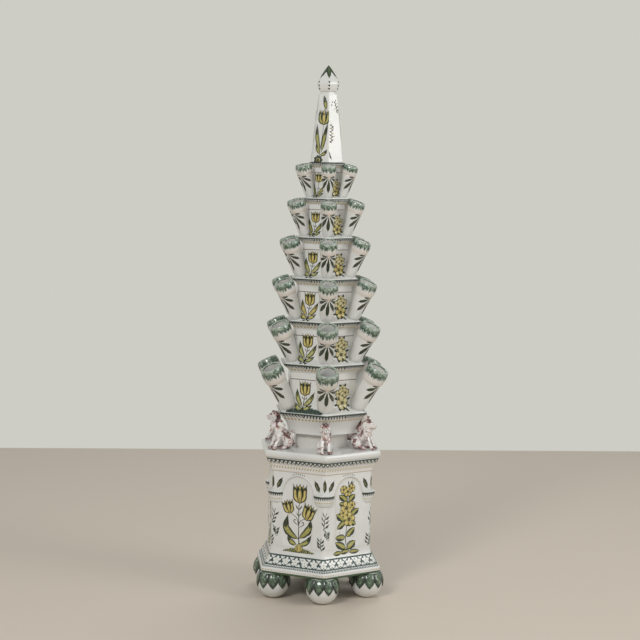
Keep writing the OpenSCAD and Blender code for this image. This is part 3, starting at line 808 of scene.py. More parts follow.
# Pedestal walls: rounded corners with consoles, panels with shallow arched niches, thin arch mouldings

wall = {"z": 100.0, "top": 243.0, "r": 108.6, "corner": 9.0, "panelHalf": 39.0, "back": 83.5, "niche": 2.4,
        "fade": 14.0, "softSide": 9.0, "softHead": 2.0, "softRise": 35.0, "archR": 31.0, "archW": 3.0,
        "archT": 1.3, "archBed": 0.3, "archSides": 48, "archSection": 12, "spring": 205.0,
        "circle": 93.0, "rootR": 13.0, "consoleR": 20.0, "consoleH": 23.0, "consoleTurn": 112,
        "cell": 1.15, "tuck": 1.0}
tuck, spring, half = wall["tuck"], wall["spring"], wall["panelHalf"]
wallFace = wall["r"] * cos30
wallOutside = [(wall["r"], z) for z in evenly(wall["z"], wall["top"], 24)]
consoleLow = spring - wall["consoleH"]
consoleOutside = arc(wall["rootR"], consoleLow + 14, wall["consoleR"] - wall["rootR"] - 1, 14, -90, 0)
consoleOutside += [(wall["consoleR"], consoleLow + 16), (wall["consoleR"], spring)]


def cornerLoop(k):
    # A corner from panel to panel, seen from above; its edges are tucked under the panels' glaze
    straight = fitted(wall["r"], wall["corner"])[1]
    xs = evenly(half, straight, 5)[:5]
    xs += [straight + wall["corner"] * math.radians(30) * j / 5 for j in range(6)]
    loop = [hexPoint(k, wall["r"], wall["corner"], x)[0] for x in xs]
    loop += [hexPoint(k + 1, wall["r"], wall["corner"], -x)[0] for x in reversed(xs[:-1])]
    ends = []
    for face, side in ((k, 1), (k + 1, -1)):
        p, n = hexPoint(face, wall["r"], wall["corner"], side * (half - tuck))
        ends.append((p - n * 0.4 * tuck, p - n * (wallFace - wall["back"])))
    corner = heading(cornerTurn(k)) * wall["back"] / cos30
    return [ends[0][0]] + loop + [ends[1][0], ends[1][1], corner, ends[0][1]]


console = softened([(0, consoleLow)] + consoleOutside + [(0, spring)], 1.4, False)
levels = [(0.99, wall["z"] - 1.5 * tuck)] + [(1, z) for r, z in wallOutside]
for k in six:
    loop = cornerLoop(k)
    n, rows = len(loop), len(levels)
    verts = [(s * p.x, s * p.y, z) for s, z in levels for p in loop]
    faces = [(j * n + i, j * n + (i + 1) % n, (j + 1) * n + (i + 1) % n, (j + 1) * n + i)
             for j in range(rows - 1) for i in range(n)]
    faces += [tuple(range(n - 1, -1, -1)), tuple((rows - 1) * n + i for i in range(n))]
    turn = wall["consoleTurn"]
    bracket = turned(console, 40, atCorner(k, wall["circle"], 0), True, -turn, turn)
    whitePiece(f"corner_column_{k}", merged((verts, faces), bracket), "pedestal")


def nicheDepth(x, z):
    # Hardly there at the sides and the foot, and clearest under the arch
    soft = mix(wall["softSide"], wall["softHead"], smooth(spring - wall["softRise"], spring, z))
    inside = wall["archR"] - (abs(x) if z < spring else math.hypot(x, z - spring))
    return wall["niche"] * smooth(-0.1 * soft, soft, inside) * smooth(wall["z"], wall["z"] + wall["fade"], z)


xs = [-half - tuck] + evenly(-half, half, round(2 * half / wall["cell"])) + [half + tuck]
zs = evenly(wall["z"], wall["top"], round((wall["top"] - wall["z"]) / wall["cell"]))
zs = [wall["z"] - 1.5 * tuck] + zs
row, nx, nz, back = len(xs), len(xs) - 1, len(zs) - 1, len(xs) * len(zs)
panelFaces = [(a, a + 1, a + row + 1, a + row) for j in range(nz) for a in range(j * row, j * row + nx)]
panelFaces += [(back + 3, back + 2, back + 1, back), tuple(range(nx, -1, -1)) + (back, back + 1),
               tuple(range(nz * row, back)) + (back + 2, back + 3),
               tuple(range(0, back, row)) + (back + 3, back),
               tuple(range(back - 1, -1, -row)) + (back + 1, back + 2)]
for k in six:
    canvas = flatCanvas(k)
    verts = []
    for z in zs:
        for x in xs:
            sunk = 0.4 * tuck * (abs(x) > half) + tuck * (z < wall["z"])
            verts.append(canvas(x, z, wallFace - nicheDepth(x, z) - sunk))
    corners = ((xs[0], zs[0]), (xs[-1], zs[0]), (xs[-1], zs[-1]), (xs[0], zs[-1]))
    verts += [canvas(x, z, wall["back"]) for x, z in corners]
    whitePiece(f"wall_panel_{k}", (verts, panelFaces), "pedestal")
    verts = []
    bed, section = wall["archBed"], wall["archSection"]
    for j in range(wall["archSides"] + 1):
        a = math.pi * j / wall["archSides"]
        for i in range(section):
            b = 2 * math.pi * i / section
            r = wall["archR"] + wall["archW"] / 2 * (1 + math.cos(b))
            out = wallFace - bed + max(-0.2, (wall["archT"] + bed) * math.sin(b))
            verts.append(canvas(r * math.cos(a), spring + r * math.sin(a), out))
    whitePiece(f"arch_moulding_{k}", (verts, tube(wall["archSides"] + 1, section)), "pedestal", flat=False)


def wallCanvas(k):
    # Heights in mm above the floor; below the wall it runs on down the hollow of the plinth
    flat, lengths = flatCanvas(k), measured(plinthOutside)

    def canvas(x, z, lift):
        if z > wall["z"]:
            out = wallFace - nicheDepth(x, z)
        else:
            out = alongProfile(plinthOutside, lengths, lengthAt(plinthOutside, lengths, z))[0] * cos30
        return flat(x, z, out + lift)
    return canvas


def tulipPanel(canvas):
    mound(moved(canvas, 3, 92.5), 31, 7.5)
    stem(canvas, [(2.9, 106), (1.2, 122), (1.5, 138), (0.9, 174), (2.4, 189)], 1.15)
    stem(canvas, [(1.5, 142), (-3.1, 156.7), (-10, 162), (-17, 167)], 0.8)
    stem(canvas, [(1.5, 146), (5, 152), (10, 155), (16.7, 157)], 0.8)
    for side, z in ((-1, 148), (1, 144)):
        curl = [(1.4 + side * x, z + y) for x, y in ((0, -5), (7, -1), (10.5, 3), (8, 6), (5.5, 4))]
        stroke(canvas, "darkLeaf", curl, [0.4, 1.0, 0.9, 0.5], count=15)
    for side in bothWays:
        stroke(canvas, "darkLeaf", [(1, 172), (1 + side * 4, 177), (1 + side * 7, 183)], [0.3, 1.4, 0.1])
        bract = [(1.2, 160), (1.2 + side * 3, 164), (1.2 + side * 4.5, 169)]
        stroke(canvas, "darkLeaf", bract, [0.3, 1.1, 0.1])
    for width, points in ((4.8, [(-3.1, 107.6), (-9, 108.5), (-16.5, 113.6), (-21.5, 122.5)]),
                          (4.8, [(3.8, 109.2), (11, 108.5), (20, 114.5), (28.3, 127.5)]),
                          (7.0, [(0.2, 117.5), (-14, 125), (-25, 139), (-21.3, 161)]),
                          (6.8, [(1.9, 118.5), (14.5, 128.5), (24.5, 141.5), (26.1, 156)])):
        leaf(canvas, points, width)
    for x, z, turn, h, spread in ((2.4, 187, 0, 34, 0.42), (-17, 165.4, 16, 25, 0.46),
                                  (16.7, 155.6, -20, 30, 0.46)):
        tulip(moved(canvas, x, z, 1.0, turn), h, spread)
    bulb(moved(canvas, 3, 93.5), 17, 15)


def blossomPanel(canvas):
    for base, tip in (((-14, 94), (-32, 91.5)), ((4, 96), (-17, 92.5)), ((5, 93), (28, 93))):
        ovalLeaf(canvas, base, tip, 4.2)
    stem(canvas, [(-0.5, 97), (-2.5, 122), (-0.9, 138), (0, 170), (-0.2, 190), (0.4, 203), (1.1, 220)], 0.9)
    leaves = (((-4, 101), (-26.5, 112.5), 5.2), ((0, 100.5), (20.5, 112), 5.4),
              ((-4, 121), (-26.5, 121.5), 4.8), ((0, 122.5), (18, 138), 5.2),
              ((-5, 151), (-22.5, 138), 4.6), ((-6, 154), (-25.5, 166), 5.0), ((9, 163), (26, 173.5), 4.8),
              ((9, 150), (20, 143), 3.8), ((-7, 184), (-19, 186), 3.4), ((-1.2, 191.5), (-20, 202), 4.6),
              ((3, 190.5), (17.5, 201), 4.6))
    for base, tip, width in leaves:
        ovalLeaf(canvas, base, tip, 1.3 * width)
    for x, z, r, turn in ((-9.5, 168, 7.5, 15), (10.5, 181, 7.5, 50), (4.5, 154.7, 12.5, 10),
                          (-1.8, 176.7, 12.5, 40), (-9.3, 212, 7.4, 0), (9, 213.5, 7.4, 36),
                          (0.4, 207.5, 8.8, 18)):
        blossom(moved(canvas, x, z), r, turn, "yellowPetal")
    for x, z in ((0.9, 229), (8, 223), (15, 227), (11, 230)):
        stroke(canvas, "darkLeaf", [(3, 217), (mix(3, x, 0.6), mix(217, z, 0.55)), (x, z)], [0.3, 1.5, 0.1])
    for x, z in ((-19, 194), (21, 156), (22, 184), (-19, 176), (15, 121), (-17, 131)):
        spot(canvas, "ochreDot", x, z, 1.3)


leafFan = ((-10, -14.5, -20.5, 232), (0, 0.5, 0, 235), (10, 14.5, 21, 232))
for k in six:
    canvas = wallCanvas(k)
    (blossomPanel, tulipPanel)[k % 2](canvas)
    edgeCanvas = byHeight(wallOutside, cornerCanvas(wallOutside, wall["corner"], k))
    sprig(moved(edgeCanvas, -2, 139, 1.0, -14), 29, 2.0 * k)
    sprig(moved(edgeCanvas, 6, 121, 0.9, -10), 14, 2.0 * k + 1, True)
    sprig(moved(edgeCanvas, -4, 98, 1.0, 2), 22, 2.0 * k + 0.6)
    for low, mid, tip, high in leafFan:
        points = [(low, spring + 5), (mid, mix(spring + 5, high, 0.45)), (tip, high)]
        stroke(edgeCanvas, "darkLeaf", points, [0.3, 4.5, 4.3, 0.15], cols=5, count=13)
        light = [(x - 1.3, mix(z, spring + 14, 0.25)) for x, z in points[:2]] + [(mid - 2.2, high - 8)]
        stroke(edgeCanvas, "greenLeaf", light, [0.2, 0.8, 0.1], 0.12, count=9)
    consoleCanvas = turnedCanvas(consoleOutside, atCorner(k, wall["circle"], 0))
    rim = measured(consoleOutside)[-1] - 3.0
    around = wall["consoleR"] * math.radians(88)
    stroke(consoleCanvas, "darkLine", [(-around, rim), (around, rim)], [1.5, 1.5], count=40)
    for x in middles(-around, around, 15):
        stroke(consoleCanvas, "darkLine", [(x, rim), (x + 0.6, rim - 6.5)], [2.4, 0.4], count=5)
    for x in middles(-around, around, 13):
        dash = [(x - 1.3, rim - 11.5), (x + 1.3, rim - 10.3)]
        stroke(consoleCanvas, "ochreDot", dash, [0.6, 1.4, 0.6], count=5)
    for a in evenly(71, 109, 6):
        c, s = math.cos(math.radians(a)), math.sin(math.radians(a))
        hatch = [(34.6 * c + 0.9, spring + 34.6 * s - 1), (37.6 * c - 0.5, spring + 37.0 * s + 0.4)]
        stroke(canvas, "greyGreen", hatch, [0.95, 0.4], count=5)
print("pedestal walls made")

# Cornice

cornice = {"z": 243.0, "top": 270.0, "lowR": 110.0, "r": 121.5, "eye": 84.0, "wall": 8.0, "corner": 6.0,
           "dashes": 9.0, "teeth": 15.0, "line": 266.8}
low, top, lowR, eye, thick = (cornice[n] for n in ("z", "top", "lowR", "eye", "wall"))
rounding, dashZ = cornice["corner"], low + cornice["dashes"]
corniceOutside = [(lowR, low), (lowR, low + 3), (lowR + 1.5, dashZ)]
corniceOutside += arc(lowR + 3, top - 1.5, cornice["r"] - lowR - 3,
                      top - 1.5 - (low + cornice["teeth"]), -90, 0, 14)
corniceOutside += [(cornice["r"], top)]
corniceInside = [(eye, top), (eye, top - thick), (lowR - 5, top - thick), (lowR - 6.5, low + thick),
                 (eye, low + thick), (eye, low)]
whitePiece("cornice", hexLoft(softened(corniceOutside + corniceInside, 1.0), rounding), "pedestal")
lengths = measured(corniceOutside)
lineAt, dashAt = (lengthAt(corniceOutside, lengths, z) for z in (cornice["line"], dashZ))


def zigzag(canvas, x, pitch):
    for side in bothWays:
        tooth = [(x + 0.5 * side * pitch, lineAt - 0.8), (x, lineAt - 8)]
        stroke(canvas, "darkLine", tooth, [1.7, 1.3, 0.9], 0.03 * (side + 1), count=6)


edgeLine(corniceOutside, rounding, "darkLine", lineAt, 2.2)
edgeRow(corniceOutside, rounding, lineAt, 8.6, zigzag)
dash = tick("ochreDot", dashAt, (-1.4, -2.8), (1.4, 2.6), [0.6, 1.3, 0.6])
edgeRow(corniceOutside, rounding, dashAt, 5.8, dash)
# Painted shade: a soft pale tan line along the foot of the cornice, where it overhangs the wall
edgeLine(corniceOutside, rounding, "neckWash", 1.4, 1.1)
print("cornice made")

# Gallery: slab, stem and cup

gallery = {"z": 270.0, "slabR": 126.0, "slabH": 13.0, "nose": 4.0, "bossR": 83.4, "bossD": 5.0, "stemR": 56.0,
           "stemWall": 8.0, "stemTop": 311.0, "stemCorner": 5.0, "cupBase": 72.0, "cupR": 95.0,
           "cupTop": 352.0, "corner": 6.0}
tier = {"wall": 6.0, "floor": 6.0, "rimEdge": 3.0, "rimT": 3.2, "seatD": 4.0, "seatW": 4.5, "baseEdge": 5.0,
        "gap": 0.6, "corner": (5.0, 3.2), "rims": [95.0, 87.5, 78.0, 71.0, 60.0, 49.5, 37.5],
        "rises": [0, 91.0, 80.0, 80.0, 76.5, 72.5, 67.0], "rimOut": (16.0, 8.0), "rimH": (17.0, 10.0),
        "baseH": (20.0, 13.0), "pattern": (1.0, 0.7)}
low, stemTop, cupTop, cupR, cupBase = (gallery[n] for n in ("z", "stemTop", "cupTop", "cupR", "cupBase"))
nose, bossR = gallery["nose"], gallery["bossR"]
bossZ, slabTop = low - gallery["bossD"], low + gallery["slabH"]
slab = [(0, bossZ), (bossR, bossZ), (bossR, low)]
slab += arc(gallery["slabR"] - nose, low + gallery["slabH"] / 2, nose, gallery["slabH"] / 2, -90, 90, 12)
slab = softened(slab + [(60, slabTop), (0, slabTop)], 0.8, False)
whitePiece("gallery_slab", hexLoft(slab, gallery["corner"], closed=False), "gallery")
stemR, stemIn = gallery["stemR"], gallery["stemR"] - gallery["stemWall"]
stemRing = [(stemR, slabTop), (stemR, stemTop), (stemIn, stemTop), (stemIn, slabTop)]
whitePiece("gallery_stem", hexLoft(stemRing, gallery["stemCorner"]), "gallery")


def upTiers(pair, i):  # from the lowest tier's value to the highest's
    return mix(pair[0], pair[1], (i - 1) / 5)


def rimZ(i):
    return cupTop + sum(tier["rises"][:i + 1])


cupOutside = flare((cupR, cupTop - tier["rimEdge"]), (cupBase, stemTop + 1), 1.8)[::-1]
cupOutside = [(cupBase, stemTop)] + cupOutside + [(cupR, cupTop)]
seatR, seatZ = cupR - tier["rimT"], cupTop - tier["seatD"]
innerR, floorZ = cupBase - tier["wall"], stemTop + tier["floor"]
cup = [(0, stemTop)] + cupOutside + [(seatR, cupTop), (seatR, seatZ), (seatR - 2 * tier["seatW"], seatZ),
                                     (innerR, seatZ - 12.4), (innerR, floorZ), (0, floorZ)]
whitePiece("gallery_cup", hexLoft(softened(cup, 0.8, False), tier["corner"][0], closed=False), "gallery")


def rimBorder(outside, rounding, size):
    # Dark line with slanting ticks along the rim's edge, and a row of ochre dashes on the flare below
    line = measured(outside)[-1] - 1.5 * size
    dots = line - 14 * size
    edgeLine(outside, rounding, "darkLine", line, 1.5 * size)
    slant = tick("darkLine", line, (0, 0), (1.2 * size, -9.5 * size),
                 [2.2 * size, 1.9 * size, 0.5 * size], count=6)
    edgeRow(outside, rounding, line, 6.2 * size, slant)
    dash = tick("ochreDot", dots, (-1.1 * size, -3.0 * size), (1.1 * size, 3.0 * size),
                [0.9 * size, 1.8 * size, 0.9 * size], 0.05, 6)
    edgeRow(outside, rounding, dots, 7.0 * size, dash)


brush["body"] = "gallery"
rimBorder(cupOutside, tier["corner"][0], 1.0)
print("gallery made")

# Tiers

faceMotif = {"tulipLeft": -8.2, "clusterRight": 3.5, "clusterUp": 3.0, "clusterSize": 0.95,
             "sizes": (1.0, 0.96, 0.92, 0.86, 0.77, 0.66), "rises": (0, 0, 0, 0, 3, 12),
             "leaves": ("youngLeaf", "youngLeaf", "yellowPetal", "youngLeaf", "greenLeaf", "greenLeaf"),
             "blossoms": ("paleBlossom",) * 2 + ("yellowPetal",) * 4}


def tierTulip(canvas, rise, paint):
    # About 55 mm tall on the lowest tier, with its flower a little right of its root
    for width, points in ((4.6, [(-3, 9), (-9, 18), (-12.5, 28), (-13.5, 42)]),
                          (4.6, [(-0.5, 10), (8, 16), (15, 24), (22, 37)]),
                          (3.8, [(-2, 5), (-8, 6), (-13, 9), (-18.5, 17)]),
                          (3.6, [(1, 6), (6, 6), (11, 8), (17, 13)])):
        leaf(canvas, points, width, 0.34, paint)
    stem(canvas, [(-0.5, 6), (0, 16), (2.2, 26), (3, 34 + rise)], 0.9)
    for side in bothWays:
        stroke(canvas, "darkLeaf", [(2, 22), (2 + side * 3.5, 25), (2 + side * 5, 29)], [0.3, 1.0, 0.1])
        stroke(canvas, "darkLeaf", [(0, 2), (side * 5, 0.5), (side * 9, 1.5)], [0.5, 1.4, 0.1])
    tulip(moved(canvas, 3, 31 + rise), 26, 0.46)
    spot(canvas, "darkLeaf", 0, 5, 2.6, 4.0, 0.3)


def tierCluster(canvas, paint):
    # One large blossom low down, smaller ones above it and dark leaf points all round
    for x, y, turn in ((-15, 24, 165), (16, 23, 15), (-15, 11, 200), (15, 9, -25), (-8, 3, 225), (9, 2, 315),
                       (-13, 38, 140), (14, 39, 40), (-5, 49, 110), (7, 50, 65), (0, 27, 120)):
        c, s = math.cos(math.radians(turn)), math.sin(math.radians(turn))
        points = [(x - 5 * c, y - 5 * s), (x, y), (x + 4 * c, y + 4 * s)]
        stroke(canvas, "darkLeaf", points, [0.6, 2.6, 2.2, 0.2], cols=5, count=9)
    for x, y, r, turn in ((-7, 33, 8.2, 0), (7.5, 35, 8.2, 36), (0.5, 44, 6.6, 18)):
        blossom(moved(canvas, x, y), r, turn)
    blossom(moved(canvas, 0.5, 15), 12.5, 30, paint)
    for x, y in ((-19, 4), (19, 3), (-20, 32), (20, 31)):
        spot(canvas, "ochreDot", x, y, 1.1)


def tierGround(canvas, foot, seed):
    # Hatched ground along the foot of the lowest tier
    local = random.Random(seed)
    for j, x in enumerate(middles(-36, 36, 70)):
        tall = 6.5 * (1 - (abs(x) / 38) ** 2) + 1.6
        points = [(x, foot - 1), (x + local.uniform(-2, 2), foot + 0.5 * tall),
                  (x + local.uniform(-3, 3), foot + tall)]
        paint = ("blueGreen", "darkLeaf", "blueGreen")[j % 3]
        stroke(canvas, paint, points, [1.7, 1.3, 0.2], 0.02 * (j % 3), count=6)


def tierLevels(i):  # underside, height and the wall's radius
    wallR = tier["rims"][i] - upTiers(tier["rimOut"], i)
    return rimZ(i - 1) - tier["seatD"], tier["rises"][i] + tier["seatD"], wallR


for i in six:
    brush["body"] = f"tier_{i}"
    low, h, wallR = tierLevels(i)
    size, rounding, rimR = upTiers(tier["pattern"], i), upTiers(tier["corner"], i), tier["rims"][i]
    baseR = tier["rims"][i - 1] - tier["rimT"] - tier["gap"]
    neckZ, baseZ = low + h - upTiers(tier["rimH"], i), low + upTiers(tier["baseH"], i)
    outside = [(baseR, low)] + flare((baseR, low + tier["baseEdge"]), (wallR, baseZ), 2.2)
    outside += [(wallR, z) for z in evenly(baseZ, neckZ, 8)[1:8]]
    outside += flare((rimR, low + h - tier["rimEdge"]), (wallR, neckZ), 1.3)[::-1] + [(rimR, low + h)]
    seatR, seatZ = rimR - tier["rimT"], low + h - tier["seatD"]
    innerR, floorZ = wallR - tier["wall"], low + tier["floor"]
    inside = [(seatR, low + h), (seatR, seatZ), (seatR - tier["seatW"], seatZ), (innerR, neckZ - 1),
              (innerR, floorZ), (0, floorZ)]
    form = hexLoft(softened([(0, low)] + outside + inside, 0.8, False), rounding, closed=False)
    whitePiece(f"tier_{i}_reservoir", form, f"tier_{i}")
    rimBorder(outside, rounding, size)
    line = lengthAt(outside, measured(outside), neckZ - 12 * size)
    edgeLine(outside, rounding, "brownLine", line, 0.8 * size)
    foot = low + tier["baseEdge"] + 1.0
    motif = ("sizes", "rises", "leaves", "blossoms")
    flower, rise, leafPaint, blossomPaint = (faceMotif[n][i - 1] for n in motif)
    for k in six:
        canvas = byHeight(outside, hexCanvas(outside, rounding, k))
        if k % 2:
            tierTulip(moved(canvas, faceMotif["tulipLeft"] * flower, foot, flower), rise, leafPaint)
        else:
            x, up = faceMotif["clusterRight"] * flower, faceMotif["clusterUp"] * flower
            tierCluster(moved(canvas, x, foot + up, faceMotif["clusterSize"] * flower), blossomPaint)
        if i == 1 and k % 2:
            tierGround(canvas, foot, 40 + k)
print("tiers made")

# Spouts

spouts = {"bulb": (21.5, 14.0), "bore": (14.5, 9.25), "boreLen": (36.0, 25.0), "root": (15.5, 8.0),
          "wall": 3.6, "bulbLen": (30.0, 19.0), "lean": (30.0, 16.0), "rootOut": 6.6,
          "rootZ": (21.0, 12.5), "mouthDrop": 4.5, "step": 1.5, "lipRound": 1.8, "bed": 3.0, "sides": 52,
          "fanEven": 0.4}
spoutFan = ((0, 41, 4.2), (-27, 38, 4.1), (27, 38, 4.1), (-57, 28, 3.5), (57, 28, 3.5),
            (-84, 17, 2.2), (84, 17, 2.2))


def beddedIn(v, k, apothem):
    # A point of a spout that would stand inside its reservoir is drawn back to the middle of the wall
    reach = min(apothem - v.x * math.cos(t) - v.y * math.sin(t) for t in (faceTurn(k), faceTurn(k + 1)))
    return v if reach <= 0 else v + heading(cornerTurn(k)).to_3d() * reach / cos30


for i in six:
    brush["body"] = f"tier_{i}"
    low, h, wallR = tierLevels(i)
    bulbR, bore, rootR = (upTiers(spouts[n], i) for n in ("bulb", "bore", "root"))
    lean, rootZ = upTiers(spouts["lean"], i), upTiers(spouts["rootZ"], i)
    long = (h - spouts["mouthDrop"] - rootZ) / math.cos(math.radians(lean))
    bulbZ, boreZ = long - upTiers(spouts["bulbLen"], i), long - upTiers(spouts["boreLen"], i)
    bulbIn, half, neckR = bulbR - 2 * spouts["step"], (long - bulbZ) / 2, bore + spouts["wall"]
    size = bulbR / spouts["bulb"][0]
    fanSize = mix(size, 1, spouts["fanEven"])
    outside = arc(0, 0, rootR, rootR, -90, 0, 12)
    outside += list(zip(evenly(rootR, neckR, 6), evenly(0, bulbZ, 6)))[1:]
    outside += arc(bulbIn, long - half, bulbR - bulbIn, half, -62, 75, 16)
    within = [(bulbIn, long)] + [(bore, z) for z in evenly(long, boreZ, 5)]
    within += [(rootR - spouts["wall"], 1), (0, 1)]
    profile = softened(outside + within, spouts["lipRound"] * size, False)
    lip = max(range(len(profile)), key=lambda j: profile[j][1])
    depths = [long - z if j <= lip else 1.5 + 5 * (long - z) for j, (r, z) in enumerate(profile)]
    neck = lengthAt(outside, measured(outside), bulbZ)
    forms, marks = [], []
    for k in six:
        seat = atCorner(k, wallR + spouts["rootOut"], low + rootZ, lean)
        verts, faces = turned(profile, spouts["sides"], seat)
        forms.append(([beddedIn(v, k, wallR * cos30 - spouts["bed"]) for v in verts], faces))
        for j in range(spouts["sides"]):
            a = 2 * math.pi * j / spouts["sides"]
            marks += [(math.cos(a) + 3.7 * k + i, math.sin(a), d / size) for d in depths]
        canvas = turnedCanvas(outside, seat)
        wash = [(0, neck + 5 * size), (0, neck), (0, neck - 5 * size)]
        stroke(canvas, "neckWash", wash, [5.5 * size, 4.2 * size, 0.3], cols=5, count=9)
        for turn, reach, width in spoutFan:
            c, s = math.sin(math.radians(turn)), -math.cos(math.radians(turn))
            run, high = reach * fanSize, neck + 0.5 * size
            drop = [(q * run * c, high + q * run * s) for q in (0.1, 0.4, 0.75, 1.0)]
            widths = [0.25, 0.45 * width * fanSize, width * fanSize, 0.9 * width * fanSize, 0.3]
            stroke(canvas, "darkLeaf", drop, widths, cols=5, count=13)
    name = f"tier_{i}_spouts"
    piece = newPiece(name + "_glazed", merged(*forms), [spongedGlaze], f"tier_{i}", name)
    mark(piece, "spoutPlace", marks)
print("spouts made")

# Obelisk and bud

obelisk = {"h": 131.0, "topR": 19.5, "wall": 5.5, "corner": 3.2}
bud = {"waistR": 15.0, "waistH": 4.0, "r": 22.0, "lowH": 17.0, "highH": 32.98, "power": 1.35, "corner": 4.0}
low, lowR = rimZ(6) - tier["seatD"], tier["rims"][6] - tier["rimT"] - tier["gap"]
topR, thick = obelisk["topR"], obelisk["wall"]
edgeZ, top = low + tier["baseEdge"], low + obelisk["h"]
obeliskOutside = [(lowR, low)] + list(zip(evenly(lowR, topR, 12), evenly(edgeZ, top, 12)))
obeliskInside = [(0, top), (0, top - thick), (topR - thick, top - thick), (lowR - thick, edgeZ),
                 (lowR - thick, low)]
whitePiece("obelisk", hexLoft(softened(obeliskOutside + obeliskInside, 0.8), obelisk["corner"]), "top")
wideZ, budR = top + bud["waistH"] + bud["lowH"], bud["r"]
tip = wideZ + bud["highH"]
budOutside = [(bud["waistR"], top)] + arc(bud["waistR"], wideZ, budR - bud["waistR"], bud["lowH"], -90, 0, 10)
budOutside += [(budR * (1 - (j / 16) ** bud["power"]), wideZ + bud["highH"] * j / 16) for j in range(1, 16)]
form = hexLoft([(0, top)] + budOutside + [(0, tip)], bud["corner"], closed=False)
whitePiece("bud_finial", form, "top")


def obeliskFlower(canvas):
    # A tall tulip over a rosette, with one closed leaf above it
    stem(canvas, [(-3, 830), (-1, 850), (1.5, 872), (2.8, 892)], 0.6)
    for width, points in ((4.0, [(-1.8, 838), (-7, 856), (-9.8, 871), (-9.9, 889)]),
                          (4.0, [(0.8, 839), (4, 856), (6.5, 871), (11.3, 893)]),
                          (3.4, [(-2.6, 834), (-5.5, 840), (-8, 846), (-9.5, 856)]),
                          (3.3, [(-1, 833), (3.5, 834), (8, 837), (12.5, 843)])):
        leaf(canvas, points, width)
    tulip(moved(canvas, 2.8, 890.0), 26.5, 0.34, "greenLeaf")
    stroke(canvas, "darkLine", [(4, 914), (5.2, 919)], [0.5, 0.4], count=4)
    leaf(canvas, [(5.6, 917), (4.8, 924), (3.0, 932), (0.4, 943)], 3.7, 0.75)
    rosette = moved(canvas, -4.6, 823.6)
    for j in range(7):
        stroke(rosette, "darkLeaf", ray(2 * math.pi * j / 7, 2, 6, 9.4), [1.4, 4.0, 1.0], cols=5, count=7)
    spot(rosette, "paleBlossom", 0, 0, 5.0, lift=0.2)
    spot(rosette, "darkLeaf", 0, 0, 2.4, lift=0.34)


def obeliskSpray(canvas):
    # Two loose sprays of short dark and yellow strokes, and one leaf low by the corner
    for base, tip, reach, count in (((8.4, 911), (3.2, 932), 2.6, 7), ((-8.5, 855), (-6.0, 890), 4.6, 11)):
        base, tip = Vector(base), Vector(tip)
        stem(canvas, [base, tip], 0.55)
        for q in range(count):
            at = base.lerp(tip, (q + 0.3) / count)
            end = at + Vector((reach * (1 if q % 2 else -1), 3.6 - 0.2 * q))
            paint = ("darkLeaf", "darkLine", "yellowPetal")[q % 3]
            stroke(canvas, paint, [at, end], [0.4, 1.5, 0.3], 0.05, count=6)
    for x, z in ((-3.4, 883), (-10.2, 877), (-2.6, 931), (-4.4, 926), (4.8, 934)):
        spot(canvas, "darkLeaf", x, z, 1.3, 1.7)
    for x, z in ((-7.6, 893), (-1.0, 868), (1.5, 918)):
        spot(canvas, "ochreDot", x, z, 1.0)
    stroke(canvas, "darkLeaf", [(-15, 840), (-12.8, 832), (-8.7, 824)], [0.3, 2.0, 1.8, 0.1], count=9)


brush["body"] = "top"
edgeLine(obeliskOutside, obelisk["corner"], "darkLine", 4.4, 0.5)
budPainted = budOutside + [(0.1, tip)]
end = measured(budPainted)[-1]
for k in six:
    canvas = byHeight(obeliskOutside, hexCanvas(obeliskOutside, obelisk["corner"], k))
    (obeliskSpray, obeliskFlower)[k % 2](canvas)
    canvas = cornerCanvas(budPainted, bud["corner"], k)
    sepal, light = ([(0, end - y) for y in ys] for ys in ((0.8, 14, 32), (5, 12, 23)))
    stroke(canvas, "darkLeaf", sepal, [0.3, 3.8, 6.0, 4.0, 0.15], cols=9, count=19)
    stroke(canvas, "footGreen", light, [0.3, 1.6, 2.4, 1.6, 0.15], 0.14, 5, 13)
    for y in (38.5, 45.0, 51.0):
        stroke(canvas, "darkLeaf", [(0, end - y + 2.0), (0, end - y - 2.0)], [0.6, 2.2, 0.6], 0.12, 7, 7)
print("obelisk and bud made")

# Lions: seated, facing out from each corner of the gallery

lion = {"seat": 88.0, "z": 283.0, "voxel": 0.8, "smoothing": 4, "soft": 0.5, "crestR": (3.1, 3.3),
        "head": (13, 0, 46.5), "muzzle": (22.5, 0, 43.4), "chest": (7.5, 0, 30), "loin": (-2, 0, 20.5)}
crest = [Vector(p) for p in ((13, 0, 54.5), (7, 0, 53), (3, 0, 47), (1.5, 0, 39), (1, 0, 31), (-3, 0, 25))]
tail = ((-20, 3, 4), (-22.5, 8, 6), (-19, 12, 12), (-13, 12.5, 18), (-11, 11.5, 25), (-14, 11, 30))


def blobChain(a, b, ra, rb, steps=7):
    return [(Vector(a).lerp(Vector(b), t), mix(ra, rb, t)) for t in evenly(0, 1, steps)]


